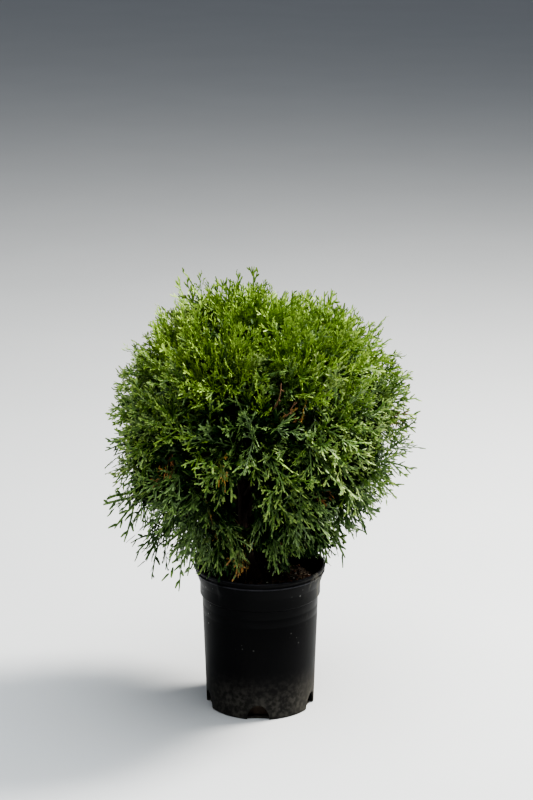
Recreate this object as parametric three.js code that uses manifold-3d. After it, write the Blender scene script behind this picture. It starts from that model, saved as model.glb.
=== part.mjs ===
// A potted globe thuja, in millimetres, +Z up, with the origin at the centre of the pot's flat underside.
// A short trunk rises from the potting mix. Boughs sweep out from it, and each ends in one mass of foliage.
// The tips of the sprays are spread evenly over the crown by the golden angle, and a spray belongs to the
// mass whose axis lies nearest, so the masses share the crown like the segments of an orange.
import * as THREE from "three";
import { mergeVertices } from "three/addons/utils/BufferGeometryUtils.js";
import Module from "manifold-3d";

const wasm = await Module();
wasm.setup();

// Driving dimensions
const GAP = 0.3; // clearance between solids that touch on the real plant
const GOLDEN_ANGLE = Math.PI * (3 - Math.sqrt(5));

const POT = {
  height: 186,
  footRadius: 68.5,
  wallTopRadius: 73.4,
  wallTop: 146,
  bandRadius: 76,
  bandFoot: 149,
  bandTop: 163,
  collarRadius: 80.2,
  collarTop: 175,
  lipRadius: 82.5,
  wall: 2,
  floor: 2.5,
  segments: 32,
};
const DRAIN = { count: 5, width: 28, height: 20, depth: 12, sides: 8, first: -2 };
const SOIL = { top: 167, crumbleRadius: 62, crumbleDrop: 5 };

const TRUNK = {
  foot: [-9, -2],
  lean: [-37, -6], // the control point that bends the trunk to the left
  flareRadius: 12,
  flareHeight: 16,
  radius: 7.6,
  tipRadius: 2.4,
  sides: 10,
  steps: 9,
};
// Boughs: their end stands a little off the trunk, and their last stretch sweeps into the mass's axis
const BOUGH = { radius: 3.2, tipRadius: 1.9, sides: 5, steps: 3, sweep: 16, seat: 0.7 };

const CROWN = {
  hub: new THREE.Vector3(-8, 0, 340), // the boughs spread from here
  centre: new THREE.Vector3(-2, 0, 370), // the round outline is drawn about this point
  radius: 187,
  raggedness: 0.1, // how far a tip may fall short of the outline
  tips: 238,
  turn: 2, // radians from the right to the first tip
  turnJitter: 0.1,
  lowestTip: -0.93, // cosine of the steepest tip, so that the foot of the trunk stays open
};
// Where the outline swells or dips: a direction, a height in millimetres and a half width in degrees.
const LOBES = [
  { towards: [-0.62, -0.2, -0.75], swell: 54, spread: 28 }, // low skirt on the left
  { towards: [0.15, -0.5, -0.85], swell: 14, spread: 22 }, // low skirt in front
  { towards: [-0.43, -0.05, 0.9], swell: 26, spread: 14 }, // tuft at the upper left
  { towards: [0.0, 0.05, 1.0], swell: 8, spread: 9 }, // tuft at the top
  { towards: [0.2, -0.1, 0.97], swell: -22, spread: 10 }, // dip right of the top
  { towards: [-0.27, -0.15, 0.95], swell: -14, spread: 8 }, // dip left of the top
  { towards: [0.98, -0.05, 0.2], swell: 16, spread: 24 }, // right side
  { towards: [0.25, 0.8, -0.5], swell: 14, spread: 26 }, // skirt at the back
  { towards: [-0.5, 0.8, 0.3], swell: 7, spread: 22 }, // back shoulder
];

const MASS = {
  coreGap: 10, // from the foot of a mass's stem to the back of its core
  coreRadius: 137, // reach of the cores from the crown's centre
  coreShrink: 0.2,
  stemReach: 140,
  stemRadius: 1.8,
  stemTipRadius: 1.2,
  stemSides: 5,
  margin: 0.7, // from a mass's own solids to the plane it shares with its neighbour
  coreMargin: 1.7,
  trunkRoom: 3, // from a mass to the trunk's own surface
  lowestCore: 202,
};
const POT_ROOM = { side: 2, above: 2, inside: 8, overSoil: 4 }; // what the lowest sprays keep from the pot
// Rings of masses from the top down: polar angle and first azimuth in degrees, how many, and where on the
// trunk their boughs leave.
const RINGS = [
  { name: "top", polar: 0, azimuth: 0, count: 1, start: 50 },
  { name: "upper", polar: 41, azimuth: 20, count: 5, start: 58, leaves: 352, stagger: 22 },
  { name: "middle", polar: 75, azimuth: -95, count: 7, start: 62, leaves: 320, stagger: 26 },
  { name: "lower", polar: 106, azimuth: -72, count: 7, start: 60, leaves: 291, stagger: 24 },
  { name: "skirt", polar: 138, azimuth: -128, count: 6, start: 56, leaves: 257, stagger: 22 },
];

// A twig flattens into its spray: one blade with a narrow stalk and a toothed fan
const SPRAY = {
  length: 62,
  width: 50,
  thickness: 1.7,
  stalk: 2.6,
  leastStalk: 6,
  teeth: 4,
  firstTooth: 0.08, // shares of the fan's length: the first tooth's root, the step to the next, and its reach
  toothStep: 0.204,
  forward: 0.24,
  rib: 0.16, // share of the fan's width left between the teeth
  turns: 5,
  sizes: [1, 0.78, 0.6],
  branchesAt: 0.5, // share of the tip's distance along the mass's axis at which its twig leaves the stem
  firstTwig: 6, // from the stem's foot to the nearest twig
};
// How far a spray's tip curves up at the crown's middle and down at its foot
const BEND = { lift: 12, hang: -46, power: 3 };
// A narrow way through the front sprays along which the trunk shows, rising towards the front
const OPENING = { low: 214, high: 292, halfWidth: 9, rise: 0.34 };
const CORE_SEEDS = 500;
const TURN_SEEDS = 1000;

// One number after another from a seed, the same on every run.
function seeded(seed) {
  let state = (seed * 2654435761) % 4294967296;
  return () => {
    state = (state * 1664525 + 1013904223) % 4294967296;
    return state / 4294967296;
  };
}

const UP = new THREE.Vector3(0, 0, 1);
const RIGHT = new THREE.Vector3(1, 0, 0);
const degrees = THREE.MathUtils.degToRad;
const along = (origin, direction, distance) => origin.clone().addScaledVector(direction, distance);

function material(name, colour, roughness) {
  return new THREE.MeshStandardMaterial({ name, color: colour, roughness, metalness: 0 });
}
const MATERIALS = {
  pot: material("black plastic", 0x17181b, 0.55),
  soil: material("potting mix", 0x2b1d14, 0.95),
  bark: material("bark", 0x5a4233, 0.9),
  foliage: material("foliage", 0x3f6a24, 0.7),
};

// A geometry's closed surface as a solid that can be joined and cut.
function solid(geometry) {
  const bare = new THREE.BufferGeometry();
  bare.setAttribute("position", geometry.attributes.position);
  bare.setIndex(geometry.index);
  const merged = mergeVertices(bare, 1e-3);
  const corners = merged.index.array;
  const faces = [];
  for (let i = 0; i < corners.length; i += 3) {
    const [a, b, c] = [corners[i], corners[i + 1], corners[i + 2]];
    if (a !== b && b !== c && c !== a) faces.push(a, b, c);
  }
  const vertProperties = new Float32Array(merged.attributes.position.array);
  return new wasm.Manifold(
    new wasm.Mesh({ numProp: 3, vertProperties, triVerts: new Uint32Array(faces) }),
  );
}

function geometryOf(body) {
  const mesh = body.getMesh();
  const geometry = new THREE.BufferGeometry();
  geometry.setAttribute("position", new THREE.BufferAttribute(mesh.vertProperties, 3));
  geometry.setIndex(new THREE.BufferAttribute(mesh.triVerts, 1));
  return geometry;
}

// The largest single body, so that a loose scrap left by a join is dropped.
function largest(body) {
  return body.decompose().reduce((best, piece) => (piece.volume() > best.volume() ? piece : best));
}

function named(name, body, finish) {
  const geometry = geometryOf(body);
  geometry.computeVertexNormals();
  const mesh = new THREE.Mesh(geometry, finish);
  mesh.name = name;
  return mesh;
}

function turned(profile, segments) {
  const points = profile.map(([radius, height]) => new THREE.Vector2(radius, height));
  return solid(new THREE.LatheGeometry(points, segments).rotateX(Math.PI / 2));
}

// The world axis that stands best across a direction
const reference = (direction) => (Math.abs(direction.z) > 0.8 ? RIGHT : UP);

// A round limb that follows a curve, made by bending a cylinder. A level one keeps its rings flat.
function limb(curve, radiusAt, sides, steps, level = false) {
  const cylinder = new THREE.CylinderGeometry(1, 1, 1, sides, steps);
  const position = cylinder.attributes.position;
  const across = reference(level ? UP : curve.getTangent(0));
  const point = new THREE.Vector3();
  for (let i = 0; i < position.count; i++) {
    const t = THREE.MathUtils.clamp(position.getY(i) + 0.5, 0, 1);
    const tangent = level ? UP : curve.getTangent(t);
    const side = across.clone().projectOnPlane(tangent).normalize();
    const other = side.clone().cross(tangent);
    const radius = radiusAt(t);
    point.copy(curve.getPoint(t));
    point.addScaledVector(side, position.getX(i) * radius);
    point.addScaledVector(other, position.getZ(i) * radius);
    position.setXYZ(i, point.x, point.y, point.z);
  }
  return cylinder;
}

const taper = (from, to) => (t) => from + (to - from) * t;

// The pot: a thin tapered wall with a band, a flared collar and a double lip, and drain holes at its foot
function potProfile() {
  const p = POT;
  const inner = (radius) => radius - p.wall;
  return [
    [0, 0],
    [p.footRadius - 2, 0],
    [p.footRadius, 2],
    [p.wallTopRadius, p.wallTop],
    [p.bandRadius, p.bandFoot],
    [p.bandRadius, p.bandTop],
    [p.collarRadius, p.collarTop],
    [p.lipRadius - 0.9, p.collarTop + 2.2],
    [p.lipRadius - 1.6, p.collarTop + 5],
    [p.lipRadius, p.height - 4.5],
    [p.lipRadius - 0.6, p.height],
    [p.lipRadius - 2.6, p.height],
    [inner(p.bandRadius), p.bandTop],
    [inner(p.bandRadius), p.bandFoot],
    [inner(p.wallTopRadius), p.wallTop],
    [inner(p.footRadius), p.floor],
    [0, p.floor],
  ];
}

function drainHole(index) {
  const outline = new THREE.Shape();
  outline.moveTo(-DRAIN.width / 2, -DRAIN.height);
  outline.lineTo(DRAIN.width / 2, -DRAIN.height);
  for (let i = 0; i <= DRAIN.sides; i++) {
    const angle = (Math.PI * i) / DRAIN.sides;
    outline.lineTo((DRAIN.width / 2) * Math.cos(angle), DRAIN.height * Math.sin(angle));
  }
  const cutter = new THREE.ExtrudeGeometry(outline, { depth: DRAIN.depth, bevelEnabled: false });
  cutter.rotateX(Math.PI / 2);
  cutter.translate(0, -(POT.footRadius - DRAIN.depth / 2), 0);
  cutter.rotateZ(degrees(DRAIN.first + (360 * index) / DRAIN.count));
  return solid(cutter);
}

function pot() {
  let shell = turned(potProfile(), POT.segments);
  for (let i = 0; i < DRAIN.count; i++) shell = shell.subtract(drainHole(i));
  return named("pot", shell, MATERIALS.pot);
}

// The potting mix fills the pot to just under the band's top, and crumbles away a little at the wall
function soil() {
  const wallAt = (height) => {
    const share = (height - POT.floor) / (POT.wallTop - POT.floor);
    const foot = POT.footRadius - POT.wall;
    return foot + (POT.wallTopRadius - POT.wall - foot) * share - GAP;
  };
  const profile = [
    [0, POT.floor + GAP],
    [wallAt(POT.floor + GAP), POT.floor + GAP],
    [wallAt(POT.wallTop), POT.wallTop],
    [POT.bandRadius - POT.wall - GAP, POT.bandFoot + GAP],
    [POT.bandRadius - POT.wall - GAP, SOIL.top - SOIL.crumbleDrop],
    [SOIL.crumbleRadius, SOIL.top],
    [0, SOIL.top],
  ];
  return named("potting_mix", turned(profile, POT.segments), MATERIALS.soil);
}

// The trunk leans to the left out of the mix and comes back under the crown's top, where the top mass begins
const trunkFoot = SOIL.top + GAP;
const trunkTip = along(CROWN.hub, UP, RINGS[0].start);
const trunkCurve = new THREE.QuadraticBezierCurve3(
  new THREE.Vector3(...TRUNK.foot, trunkFoot),
  new THREE.Vector3(...TRUNK.lean, (trunkFoot + trunkTip.z) / 2),
  trunkTip,
);
const trunkShare = (height) => (height - trunkFoot) / (trunkTip.z - trunkFoot);

function trunkRadius(t) {
  const height = t * (trunkTip.z - trunkFoot);
  const flare = (TRUNK.flareRadius - TRUNK.radius) * Math.exp(-height / TRUNK.flareHeight);
  return TRUNK.radius + (TRUNK.tipRadius - TRUNK.radius) * t + flare;
}

function trunk() {
  const shape = limb(trunkCurve, trunkRadius, TRUNK.sides, TRUNK.steps, true);
  return named("trunk", solid(shape), MATERIALS.bark);
}

// The masses' axes, ring by ring
function massList() {
  const list = [];
  for (const ring of RINGS) {
    for (let i = 0; i < ring.count; i++) {
      const azimuth = degrees(ring.azimuth + (360 * i) / ring.count);
      const polar = degrees(ring.polar);
      const outward = new THREE.Vector3(Math.cos(azimuth), Math.sin(azimuth), 0);
      const axis = new THREE.Vector3(0, 0, Math.cos(polar)).addScaledVector(outward, Math.sin(polar));
      const name = ring.count > 1 ? `${ring.name}_${i + 1}` : ring.name;
      const leaves = ring.leaves + (((2 * i) % ring.count) / ring.count - 0.5) * ring.stagger;
      list.push({ name, axis, outward, leaves, start: ring.start, crownTop: ring.polar === 0, tips: [] });
    }
  }
  return list;
}
const masses = massList();

// The nearest plane that a mass shares with a neighbour: its direction, and a point's depth behind it
function nearestWall(mass, point) {
  const fromHub = point.clone().sub(CROWN.hub);
  let wall = { depth: Infinity };
  for (const other of masses) {
    if (other === mass) continue;
    const normal = mass.axis.clone().sub(other.axis).normalize();
    const depth = fromHub.dot(normal);
    if (depth < wall.depth) wall = { depth, normal };
  }
  return wall;
}

function depthInside(mass, point) {
  const depth = nearestWall(mass, point).depth;
  return mass.crownTop ? depth : Math.min(depth, clearOfTrunk(mass, point));
}

// How far a point lies beyond the trunk's surface, on the mass's own side
function clearOfTrunk(mass, point) {
  const t = THREE.MathUtils.clamp(trunkShare(point.z), 0, 1);
  return point.clone().sub(trunkCurve.getPoint(t)).dot(mass.outward) - trunkRadius(t) - MASS.trunkRoom;
}

// Clear of the pot's lip, which the lowest sprays hang over, and of the potting mix
function clearOfPot(point) {
  const radius = Math.hypot(point.x, point.y);
  if (radius > POT.lipRadius + POT_ROOM.side) return true;
  if (radius > POT.bandRadius - POT_ROOM.inside) return point.z > POT.height + POT_ROOM.above;
  return point.z > SOIL.top + POT_ROOM.overSoil;
}

function clearOfOpening(point) {
  const height = point.z + point.y * OPENING.rise;
  if (point.y > 0 || height < OPENING.low || height > OPENING.high) return true;
  const t = THREE.MathUtils.clamp(trunkShare(height), 0, 1);
  return Math.abs(point.x - trunkCurve.getPoint(t).x) > OPENING.halfWidth;
}

function fits(mass, geometry) {
  const position = geometry.attributes.position;
  const point = new THREE.Vector3();
  for (let i = 0; i < position.count; i++) {
    point.fromBufferAttribute(position, i);
    if (depthInside(mass, point) < MASS.margin || !clearOfPot(point) || !clearOfOpening(point)) return false;
  }
  return true;
}

// The crown's outline in a direction from its centre
function outlineRadius(direction) {
  let radius = CROWN.radius;
  for (const lobe of LOBES) {
    const angle = direction.angleTo(new THREE.Vector3(...lobe.towards)) / degrees(lobe.spread);
    radius += lobe.swell * Math.exp(-angle * angle);
  }
  return radius;
}

// The tips of the sprays, dealt to the mass whose axis is nearest
function dealTips() {
  for (let i = 0; i < CROWN.tips; i++) {
    const random = seeded(i + 1);
    const height = 1 - (2 * (i + 0.5)) / CROWN.tips;
    if (height < CROWN.lowestTip) break;
    const azimuth = CROWN.turn + GOLDEN_ANGLE * i + (random() - 0.5) * CROWN.turnJitter;
    const level = Math.sqrt(1 - height * height);
    const direction = new THREE.Vector3(level * Math.cos(azimuth), level * Math.sin(azimuth), height);
    const reach = outlineRadius(direction) * (1 - CROWN.raggedness * random());
    const tip = along(CROWN.centre, direction, reach);
    const towards = tip.clone().sub(CROWN.hub).normalize();
    const nearest = masses.reduce((a, b) => (b.axis.dot(towards) > a.axis.dot(towards) ? b : a));
    nearest.tips.push({ tip, seed: i + 1 });
  }
}
dealTips();

// A bough leaves the side of the trunk and sweeps round into the axis of its mass
function boughCurve(mass) {
  const end = along(CROWN.hub, mass.axis, mass.start);
  const bend = along(end, mass.axis, -BOUGH.sweep);
  const t = trunkShare(mass.leaves);
  const middle = trunkCurve.getPoint(t);
  const outward = bend.clone().sub(middle).setZ(0).normalize();
  const rise = bend.z - middle.z;
  const slope = Math.abs(rise) / Math.hypot(rise, bend.distanceTo(middle));
  const start = along(middle, outward, trunkRadius(t) + BOUGH.seat + BOUGH.radius * slope);
  return new THREE.QuadraticBezierCurve3(start, bend, end);
}

function bough(mass) {
  const shape = limb(boughCurve(mass), taper(BOUGH.radius, BOUGH.tipRadius), BOUGH.sides, BOUGH.steps);
  return named(`bough_${mass.name}`, solid(shape), MATERIALS.bark);
}

// The dense middle of a mass: a ball pushed out to the sides of the mass's own space, with lumps
function core(mass, random) {
  const back = mass.start + MASS.coreGap;
  const middle = along(CROWN.hub, mass.axis, (back + MASS.stemReach) / 2);
  const inside = (point) =>
    depthInside(mass, point) > MASS.coreMargin &&
    point.clone().sub(CROWN.hub).dot(mass.axis) > back &&
    point.distanceTo(CROWN.centre) < MASS.coreRadius &&
    point.z > MASS.lowestCore &&
    clearOfPot(point) &&
    clearOfOpening(point);
  const ball = new THREE.OctahedronGeometry(1, 1);
  ball.deleteAttribute("normal").deleteAttribute("uv");
  const lumpy = mergeVertices(ball);
  const position = lumpy.attributes.position;
  const step = 2;
  for (let i = 0; i < position.count; i++) {
    const direction = new THREE.Vector3().fromBufferAttribute(position, i).normalize();
    let reach = 2 * step;
    while (inside(along(middle, direction, reach + step))) reach += step;
    const point = along(middle, direction, reach * (1 - MASS.coreShrink * random()));
    position.setXYZ(i, point.x, point.y, point.z);
  }
  return lumpy;
}

// The outline of a stalk and its fan: teeth on alternate sides point forward, and the last is the tip
function sprayOutline(stalkLength, size) {
  const length = SPRAY.length * size;
  const width = (SPRAY.width / 2) * size;
  const left = [];
  const right = [];
  for (let i = 0; i < SPRAY.teeth; i++) {
    const root = SPRAY.firstTooth + i * SPRAY.toothStep;
    const reach = Math.sin(Math.PI * (0.25 + 0.72 * root)); // widest at a third of the fan
    const side = i % 2 ? left : right;
    const sign = i % 2 ? 1 : -1;
    side.push([length * root, sign * width * SPRAY.rib]);
    side.push([length * (root + SPRAY.forward), sign * width * reach]);
  }
  const fan = [...right, [length, 0], ...left.reverse()].map(([x, y]) => [stalkLength + x, y]);
  const outline = [[0, SPRAY.stalk / 2], [0, -SPRAY.stalk / 2], ...fan];
  return new THREE.Shape(outline.map(([x, y]) => new THREE.Vector2(x, y)));
}

// How far the tip of a spray curves from the straight line of its stalk
function bendAt(tip) {
  const height = (tip.z - CROWN.centre.z) / CROWN.radius;
  return height > 0 ? BEND.lift * (1 - height) : BEND.lift + (BEND.hang - BEND.lift) * Math.min(1, -height);
}

// The straight way a spray sets out from its root, and its length
function course(tip, root) {
  const heading = tip.clone().sub(root);
  heading.z -= bendAt(tip);
  const reach = heading.length();
  return { heading: heading.normalize(), reach };
}

// A spray from its root on the stem to its tip, its width along one direction, curved along its length
function spray(tip, root, across, size) {
  const bend = bendAt(tip);
  const { heading, reach } = course(tip, root);
  const outline = sprayOutline(reach - SPRAY.length * size, size);
  const blade = new THREE.ExtrudeGeometry(outline, { depth: SPRAY.thickness, bevelEnabled: false });
  blade.translate(0, 0, -SPRAY.thickness / 2);
  const normal = heading.clone().cross(across);
  const position = blade.attributes.position;
  const point = new THREE.Vector3();
  for (let i = 0; i < position.count; i++) {
    const [x, y, z] = [position.getX(i), position.getY(i), position.getZ(i)];
    point.copy(root).addScaledVector(heading, x).addScaledVector(across, y).addScaledVector(normal, z);
    point.z += bend * (x / reach) ** BEND.power;
    position.setXYZ(i, point.x, point.y, point.z);
  }
  return blade;
}

// The ways a spray's width may lie: several turns from a first one, and last along the nearest wall
function widths(mass, tip, root, random) {
  const { heading } = course(tip, root);
  const level = reference(heading).clone().cross(heading).normalize();
  const first = level.applyAxisAngle(heading, Math.PI * random());
  const list = [];
  for (let turn = 0; turn < SPRAY.turns; turn++) {
    list.push(first.clone().applyAxisAngle(heading, (Math.PI * turn) / SPRAY.turns));
  }
  list.push(heading.clone().cross(nearestWall(mass, tip).normal).normalize());
  return list;
}

// A spray turned and then shrunk until it keeps to the mass's space and clear of the others, or nothing
function placeSpray(mass, { tip, seed }, middle, placed) {
  const ahead = tip.clone().sub(CROWN.hub).dot(mass.axis);
  const leaves = Math.max(mass.start + SPRAY.firstTwig, ahead * SPRAY.branchesAt);
  const root = along(CROWN.hub, mass.axis, leaves);
  const choices = widths(mass, tip, root, seeded(seed + TURN_SEEDS));
  for (const size of SPRAY.sizes) {
    if (tip.distanceTo(root) < SPRAY.length * size + SPRAY.leastStalk) continue;
    for (const across of choices) {
      const blade = spray(tip, root, across, size);
      if (!fits(mass, blade)) continue;
      const body = solid(blade);
      const shown = body.subtract(middle);
      if (placed.some((other) => other.intersect(shown).volume() > 0)) continue;
      placed.push(shown);
      return [body];
    }
  }
  return [];
}

function stem(mass) {
  const line = new THREE.LineCurve3(
    along(CROWN.hub, mass.axis, mass.start + GAP),
    along(CROWN.hub, mass.axis, MASS.stemReach),
  );
  return limb(line, taper(MASS.stemRadius, MASS.stemTipRadius), MASS.stemSides, 1);
}

// A mass: its stem, its core, and the sprays on their twigs, all joined into one solid
function foliage(mass, index) {
  const middle = solid(core(mass, seeded(index + CORE_SEEDS)));
  const pieces = [solid(stem(mass)), middle];
  const placed = [];
  for (const place of mass.tips) pieces.push(...placeSpray(mass, place, middle, placed));
  return named(`foliage_${mass.name}`, largest(wasm.Manifold.union(pieces)), MATERIALS.foliage);
}

const plant = new THREE.Group();
plant.add(pot(), soil(), trunk());
for (const mass of masses) if (!mass.crownTop) plant.add(bough(mass));
masses.forEach((mass, index) => plant.add(foliage(mass, index)));

export default plant;
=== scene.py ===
# %% [markdown]
# # A globe thuja in its nursery pot
# The frame holds the plant's solids at their real size: a pot, its potting mix, a trunk, boughs and
# masses of foliage. This lesson dresses them. A shrub has far more parts than anyone would place by
# hand, so it is grown by rules from a seed, and every run grows the same plant.

# %% Load the frame
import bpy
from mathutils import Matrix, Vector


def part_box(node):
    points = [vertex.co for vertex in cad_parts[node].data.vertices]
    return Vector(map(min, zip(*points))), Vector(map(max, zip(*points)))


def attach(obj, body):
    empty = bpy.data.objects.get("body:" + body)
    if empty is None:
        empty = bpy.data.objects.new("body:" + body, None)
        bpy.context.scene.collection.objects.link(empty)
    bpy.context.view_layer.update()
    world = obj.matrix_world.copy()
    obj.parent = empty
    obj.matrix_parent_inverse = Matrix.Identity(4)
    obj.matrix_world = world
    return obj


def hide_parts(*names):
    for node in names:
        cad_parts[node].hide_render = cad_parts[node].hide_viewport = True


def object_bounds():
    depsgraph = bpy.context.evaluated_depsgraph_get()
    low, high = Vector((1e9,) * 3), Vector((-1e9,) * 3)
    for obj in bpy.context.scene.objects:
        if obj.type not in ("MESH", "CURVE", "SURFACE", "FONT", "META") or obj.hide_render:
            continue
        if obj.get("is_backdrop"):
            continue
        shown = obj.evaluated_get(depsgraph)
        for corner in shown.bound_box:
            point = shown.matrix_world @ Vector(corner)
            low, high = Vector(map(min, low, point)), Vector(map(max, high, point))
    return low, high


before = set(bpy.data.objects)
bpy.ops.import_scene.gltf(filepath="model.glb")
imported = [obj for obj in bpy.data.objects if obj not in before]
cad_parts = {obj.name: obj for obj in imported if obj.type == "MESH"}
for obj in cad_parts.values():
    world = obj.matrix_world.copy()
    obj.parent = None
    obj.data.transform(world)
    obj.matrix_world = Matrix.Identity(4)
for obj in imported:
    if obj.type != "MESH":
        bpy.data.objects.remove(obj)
cad_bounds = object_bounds()
print("nodes in the frame:", len(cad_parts))

# %% Tools and sizes
import math

import bmesh
import bpy
import numpy as np
from mathutils import Matrix, Vector, noise

MM = 0.001  # the plant is worked out in millimetres, and its meshes are made in metres
UP = np.array([0.0, 0.0, 1.0])
RIGHT = np.array([1.0, 0.0, 0.0])


def box_mm(node):
    low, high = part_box(node)
    return np.array(low) / MM, np.array(high) / MM


POT_HEIGHT = box_mm("pot")[1][2]
LIP_RADIUS = box_mm("pot")[1][0]
MIX_TOP = box_mm("potting_mix")[1][2]
TRUNK_FOOT, TRUNK_TIP = (corner[2] for corner in box_mm("trunk"))
print(f"pot {POT_HEIGHT:.0f} mm high, mix up to {MIX_TOP:.0f}, trunk {TRUNK_FOOT:.0f} to {TRUNK_TIP:.0f}")

# %% [markdown]
# ## Camera and light
# The photograph looks down on the plant a little, from some way off with a long lens. A distant
# camera keeps the round crown round. Outdoors a small bright sun and a wide pale sky light the plant.
# Here a warm key lamp takes the sun's place at the upper right, a little behind, so the tips on that
# side shine and the hollows between the sprays stay dark. A wide lamp overhead is the sky, which
# lights every level tip and keeps the shadows soft. A weak lamp in front opens them, and the world
# adds a faint blue from all round.

# %% Camera
CAMERA = {"lens": 105, "sensor": 36, "place": (0.008, -2.780, 1.180), "tilt": 74.3}  # mm, metres, degrees


def place_camera():
    data = bpy.data.cameras.new("camera")
    data.lens = CAMERA["lens"]
    data.sensor_width = CAMERA["sensor"]
    camera = bpy.data.objects.new("camera", data)
    camera.location = CAMERA["place"]
    camera.rotation_euler = (math.radians(CAMERA["tilt"]), 0, 0)
    bpy.context.scene.collection.objects.link(camera)
    bpy.context.scene.camera = camera


place_camera()
print("camera at", CAMERA["place"], "metres")

# %% Lamps
CROWN_MIDDLE = (0, 0, 0.37)
LAMPS = {  # place and diameter in metres, watts and colour
    "key lamp": ((1.5, 0.5, 2.2), 0.7, 205, (1.0, 0.95, 0.84)),
    "sky lamp": ((0.2, -0.3, 2.6), 2.6, 104, (0.97, 1.0, 0.96)),
    "front lamp": ((-0.8, -2.4, 2.6), 1.6, 27, (1.0, 1.0, 0.97)),
}
WORLD = {"colour": (0.90, 0.95, 1.0), "strength": 0.20}


def place_lamp(name, place, size, watts, colour):
    data = bpy.data.lights.new(name, "AREA")
    data.shape = "DISK"
    data.size = size
    data.energy = watts
    data.color = colour
    lamp = bpy.data.objects.new(name, data)
    lamp.location = place
    lamp.rotation_euler = (Vector(CROWN_MIDDLE) - Vector(place)).to_track_quat("-Z", "Y").to_euler()
    bpy.context.scene.collection.objects.link(lamp)


def light_world(colour, strength):
    world = bpy.data.worlds.new("studio")
    world.use_nodes = True
    background = world.node_tree.nodes["Background"]
    background.inputs["Color"].default_value = (*colour, 1)
    background.inputs["Strength"].default_value = strength
    bpy.context.scene.world = world


bpy.context.scene.view_settings.look = "AgX - Medium High Contrast"
for name, lamp in LAMPS.items():
    place_lamp(name, *lamp)
light_world(**WORLD)
print("lamps:", list(LAMPS))

# %% [markdown]
# ## Writing a material as maths
# A procedural finish is a chain of small sums on numbers that vary over the surface. Nodes drawn by
# hand are slow to read, so one class wraps a node's output: plus, minus and times between outputs add
# the Math nodes, and `node` adds any other node with its settings first and its inputs after.

# %% Shader maths
class Wire:
    """An output socket in a material, or the bare material where the first node is still to come."""

    def __init__(self, tree, socket=None):
        self.tree = tree
        self.socket = socket

    def node(self, kind, settings=None, inputs=None, output=0):
        made = self.tree.nodes.new(kind)
        for name, value in (settings or {}).items():
            setattr(made, name, value)
        for name, value in (inputs or {}).items():
            self.feed(made.inputs[name], value)
        return Wire(self.tree, made.outputs[output])

    def feed(self, socket, value):
        if isinstance(value, Wire):
            self.tree.links.new(value.socket, socket)
        else:
            socket.default_value = value

    def maths(self, operation, first, second=0.0):
        return self.node("ShaderNodeMath", {"operation": operation}, {0: first, 1: second})

    def __add__(self, other):
        return self.maths("ADD", self, other)

    def __sub__(self, other):
        return self.maths("SUBTRACT", self, other)

    def __rsub__(self, other):
        return self.maths("SUBTRACT", other, self)

    def __mul__(self, other):
        return self.maths("MULTIPLY", self, other)

    __radd__ = __add__
    __rmul__ = __mul__


# %% Colours and patterns on a surface
MIX_FACTOR, MIX_FIRST, MIX_SECOND, MIX_RESULT = 0, 6, 7, 2  # the Mix node's sockets for colours


def opaque(colour):
    return colour if isinstance(colour, Wire) else (*colour, 1)


def mixed(factor, first, second):
    """A colour between two others, by a factor that varies over the surface."""
    colours = {MIX_FACTOR: factor, MIX_FIRST: opaque(first), MIX_SECOND: opaque(second)}
    return factor.node("ShaderNodeMix", {"data_type": "RGBA"}, colours, MIX_RESULT)


def grain(start, scale, detail=3.0, stretch=(1, 1, 1)):
    """Cloudy noise over the object, drawn out along an axis where its stretch is under 1."""
    place = start.node("ShaderNodeTexCoord", output="Object")
    stretched = place.node("ShaderNodeVectorMath", {"operation": "MULTIPLY"}, {0: place, 1: stretch})
    settings = {"Vector": stretched, "Scale": scale, "Detail": detail}
    return place.node("ShaderNodeTexNoise", None, settings)


def cells(start, scale):
    """Distance to the nearest of many scattered points, which makes round dots or scales."""
    place = start.node("ShaderNodeTexCoord", output="Object")
    return place.node("ShaderNodeTexVoronoi", None, {"Vector": place, "Scale": scale}, "Distance")


def place_mm(start, axis):
    """Where the surface lies along an axis, in millimetres."""
    place = start.node("ShaderNodeTexCoord", output="Object")
    return place.node("ShaderNodeSeparateXYZ", None, {0: place}, axis) * (1 / MM)


def between(value, low, high):
    """A smooth step from 0 at low to 1 at high."""
    limits = {"Value": value, "From Min": low, "From Max": high}
    return value.node("ShaderNodeMapRange", {"interpolation_type": "SMOOTHSTEP"}, limits)


def bump(height, strength, distance):
    settings = {"Height": height, "Strength": strength, "Distance": distance}
    return height.node("ShaderNodeBump", None, settings)


# %% A material from functions
def new_material(name, colour, roughness, normal=None, **constants):
    """A material from functions of its bare tree, and constants for the shader's own sockets."""
    material = bpy.data.materials.new(name)
    material.use_nodes = True
    shader = material.node_tree.nodes["Principled BSDF"]
    start = Wire(material.node_tree)
    start.feed(shader.inputs["Base Color"], opaque(colour(start)))
    start.feed(shader.inputs["Roughness"], roughness(start))
    if normal:
        start.feed(shader.inputs["Normal"], normal(start))
    for socket, value in constants.items():
        shader.inputs[socket.replace("_", " ")].default_value = value
    return material


# %% [markdown]
# ## From arrays to meshes
# A million triangles are too many to add one at a time. NumPy works out whole arrays of points and
# faces, and Blender takes each array in one call. A heap gathers many small things of one kind and
# then makes one mesh of them, with a tint for each face that picks its material. Instances would be
# lighter, but the plant then exists only as a recipe: joined meshes are real everywhere.

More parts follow.
